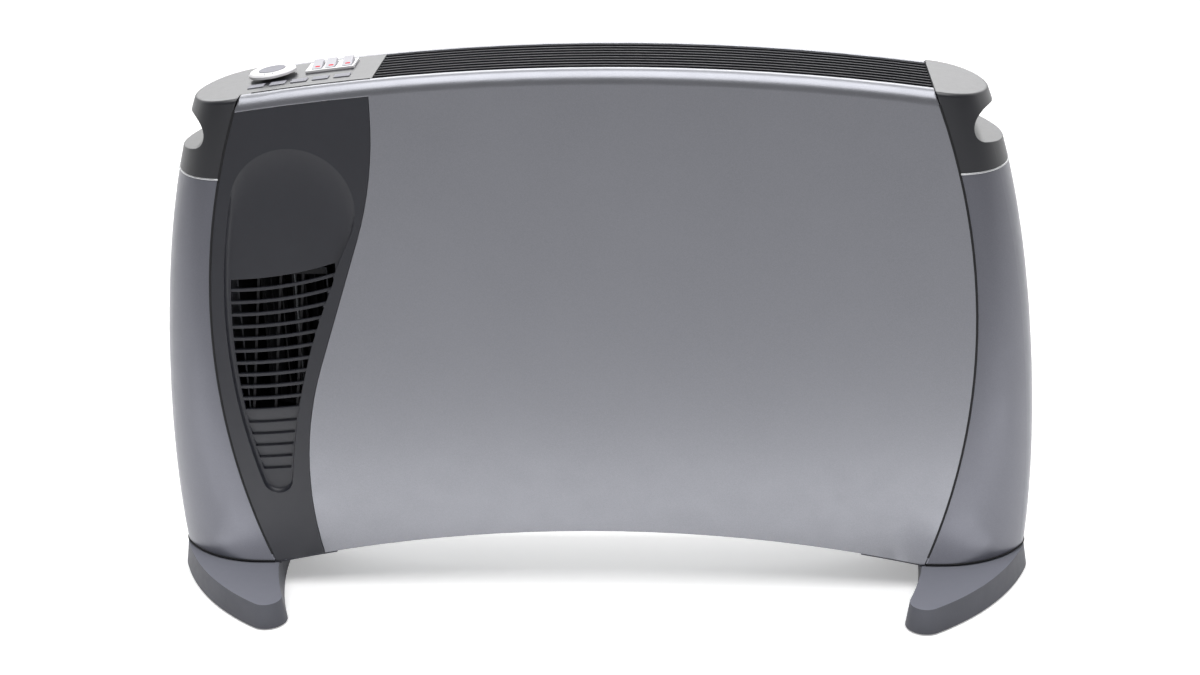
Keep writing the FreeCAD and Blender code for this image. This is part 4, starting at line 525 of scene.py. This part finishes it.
def seam_shade_beads():
    """Thin black beads in the upright seams between the panels and the end pieces, a painted shade for
    the shadowed seam gaps.
    """
    bottom, pitch, count = 28, 6, 62
    sunk, gap = 0.3 * MM, 0.4 * MM
    depth = -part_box("front_panel")[0].y - sunk
    seams = (  # name, nodes along the seam, end of the heater, front or rear
        ("front_right_seam_shade", ("front_panel",), 1, -1),
        ("front_left_seam_shade", ("fan_fascia", "front_panel"), -1, -1),
        ("rear_right_seam_shade", ("rear_panel",), 1, 1),
        ("rear_left_seam_shade", ("rear_panel",), -1, 1),
    )
    for name, nodes, side, face in seams:
        edges = [surface_of(node) for node in nodes]
        points = []
        for step in range(count):
            start = Vector((side * OUTSIDE, face * depth, (bottom + pitch * step) * MM))
            hits = [edge.ray_cast(start, Vector((-side, 0, 0)))[0] for edge in edges]
            reach = [side * hit.x for hit in hits if hit]
            if reach:
                points.append((side * (max(reach) + gap), start.y, start.z))
        # black bead: a painted shade in the seam gap
        bead(name, points, SEAM_SHADE_RADIUS, FINISHES["rubber"])


def deck_joint_bead():
    """A thin black bead along the joint between the control deck and the front panel's folded edge."""
    margin, pitch, count = 1.2 * MM, 3.7, 25
    inset, sunk = 1.0 * MM, 0.1 * MM
    deck = surface_of("control_housing")
    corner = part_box("top_grille")[0]
    points = []
    for step in range(count):
        x = corner.x - margin - step * pitch * MM
        spot = deck.ray_cast(Vector((x, corner.y + inset, SKY)), DOWN)[0]
        points.append((x, corner.y - sunk, spot.z - sunk))
    bead("deck_joint_bead", points, DECK_JOINT_RADIUS, FINISHES["rubber"])


def cap_joint_bead():
    """A thin black bead in the joint between the grille's end and the right cap."""
    pitch, half = 2.8, 16
    onto_cap, back_off, below = 5.0 * MM, 15.0 * MM, 1.5 * MM
    gap, sunk = 0.6 * MM, 0.7 * MM
    cap = surface_of("right_handle_cap")
    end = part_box("top_grille")[1].x
    points = []
    for step in range(-half, half + 1):
        y = step * pitch * MM
        top = cap.ray_cast(Vector((end + onto_cap, y, SKY)), DOWN)[0].z
        wall = cap.ray_cast(Vector((end - back_off, y, top - below)), Vector((1, 0, 0)))[0].x
        points.append((wall - gap, y, top - sunk))
    bead("cap_joint_bead", points, CAP_JOINT_RADIUS, FINISHES["rubber"])


def floor_paper():
    """White paper that turns grey in front of the heater, a painted shade for the dim room there, with
    a glow where it is seen or mirrored.
    """
    finish = Finish("floor_white", rough=0.9, level=0.1)
    tree = finish.tree
    # greyer towards the front: a painted shade for the dim room there
    front = finish.spread(finish.part_of(finish.place, "Y"), 1.0, 0.0, *FLOOR_SHADE_SPAN)
    fibre = finish.mix(finish.noise(scale=240, detail=3), srgb(249, 249, 249), srgb(254, 254, 254))
    finish.colour(finish.mix(front, fibre, srgb(180, 180, 182)))
    path = tree.nodes.new("ShaderNodeLightPath")
    seen = path.outputs["Is Camera Ray"]
    for name in ("Is Glossy Ray", "Is Transmission Ray"):
        either = tree.nodes.new("ShaderNodeMath")
        either.operation = "MAXIMUM"
        tree.links.new(seen, either.inputs[0])
        tree.links.new(path.outputs[name], either.inputs[1])
        seen = either.outputs["Value"]
    finish.surface.inputs["Emission Color"].default_value = (1, 1, 1, 1)
    glow = finish.spread(seen, 0.0, FLOOR_GLOW, start=0.0, end=1.0)
    tree.links.new(glow, finish.surface.inputs["Emission Strength"])
    return finish.material


def floor():
    """A wide pale floor that takes the heater's shadow."""
    form = bmesh.new()
    bmesh.ops.create_circle(form, cap_ends=True, radius=FLOOR_RADIUS, segments=96)
    mesh = mesh_from(form, "floor")
    mesh.materials.append(floor_paper())
    piece = placed("floor", mesh)
    piece.location = (0, 0, FLOOR_LEVEL)


def softbox(name, place, aim, width, height, radiance):
    """A rectangular studio light that faces a point, with so much light from each part of its face."""
    lamp = bpy.data.lights.new(name, "AREA")
    lamp.shape = "RECTANGLE"
    lamp.size = width
    lamp.size_y = height
    lamp.energy = radiance * width * height * math.pi
    piece = placed(name, lamp)
    piece.location = place
    piece.rotation_mode = "QUATERNION"
    piece.rotation_quaternion = (Vector(aim) - Vector(place)).to_track_quat("-Z", "Y")
    piece.visible_camera = False


def daylight():
    """A room that is bright behind the heater and dim in front, and the studio lights."""
    world = bpy.data.worlds.new("studio")
    world.use_nodes = True
    tree = world.node_tree
    tree.nodes.clear()
    out = tree.nodes.new("ShaderNodeOutputWorld")
    room = tree.nodes.new("ShaderNodeBackground")
    split = tree.nodes.new("ShaderNodeSeparateXYZ")
    level = tree.nodes.new("ShaderNodeMapRange")
    level.interpolation_type = "SMOOTHSTEP"
    level.inputs["From Min"].default_value, level.inputs["From Max"].default_value = ROOM_TURN
    level.inputs["To Min"].default_value = ROOM_FRONT
    level.inputs["To Max"].default_value = ROOM_BACK
    direction = tree.nodes.new("ShaderNodeTexCoord").outputs["Generated"]
    tree.links.new(direction, split.inputs["Vector"])
    tree.links.new(split.outputs["Y"], level.inputs["Value"])
    tree.links.new(level.outputs["Result"], room.inputs["Strength"])
    tree.links.new(room.outputs["Background"], out.inputs["Surface"])
    room.inputs["Color"].default_value = (1, 1, 1, 1)
    bpy.context.scene.world = world
    for lamp in LAMPS:
        softbox(*lamp)


def camera():
    """The camera where the photograph was taken from."""
    yaw, pitch, roll = (math.radians(angle) for angle in CAMERA_TURN)
    ahead = Vector((math.sin(yaw) * math.cos(pitch), math.cos(yaw) * math.cos(pitch), -math.sin(pitch)))
    right = Vector((math.cos(yaw), -math.sin(yaw), 0))
    upward = right.cross(ahead)
    across = right * math.cos(roll) + upward * math.sin(roll)
    above = upward * math.cos(roll) - right * math.sin(roll)
    turn = Matrix((across, above, -ahead)).transposed().to_4x4()
    data = bpy.data.cameras.new("camera")
    data.sensor_width = CAMERA_SENSOR
    data.lens = CAMERA_LENS
    piece = placed("camera", data)
    piece.matrix_world = Matrix.Translation(CAMERA_PLACE) @ turn
    bpy.context.scene.camera = piece


dress_nodes()
hollow_dish()
rocker_marks()
knob_marks()
cover_highlight_and_shade_beads()
seam_shade_beads()
deck_joint_bead()
cap_joint_bead()
floor()
daylight()
camera()
bpy.context.scene.view_settings.view_transform = "Standard"
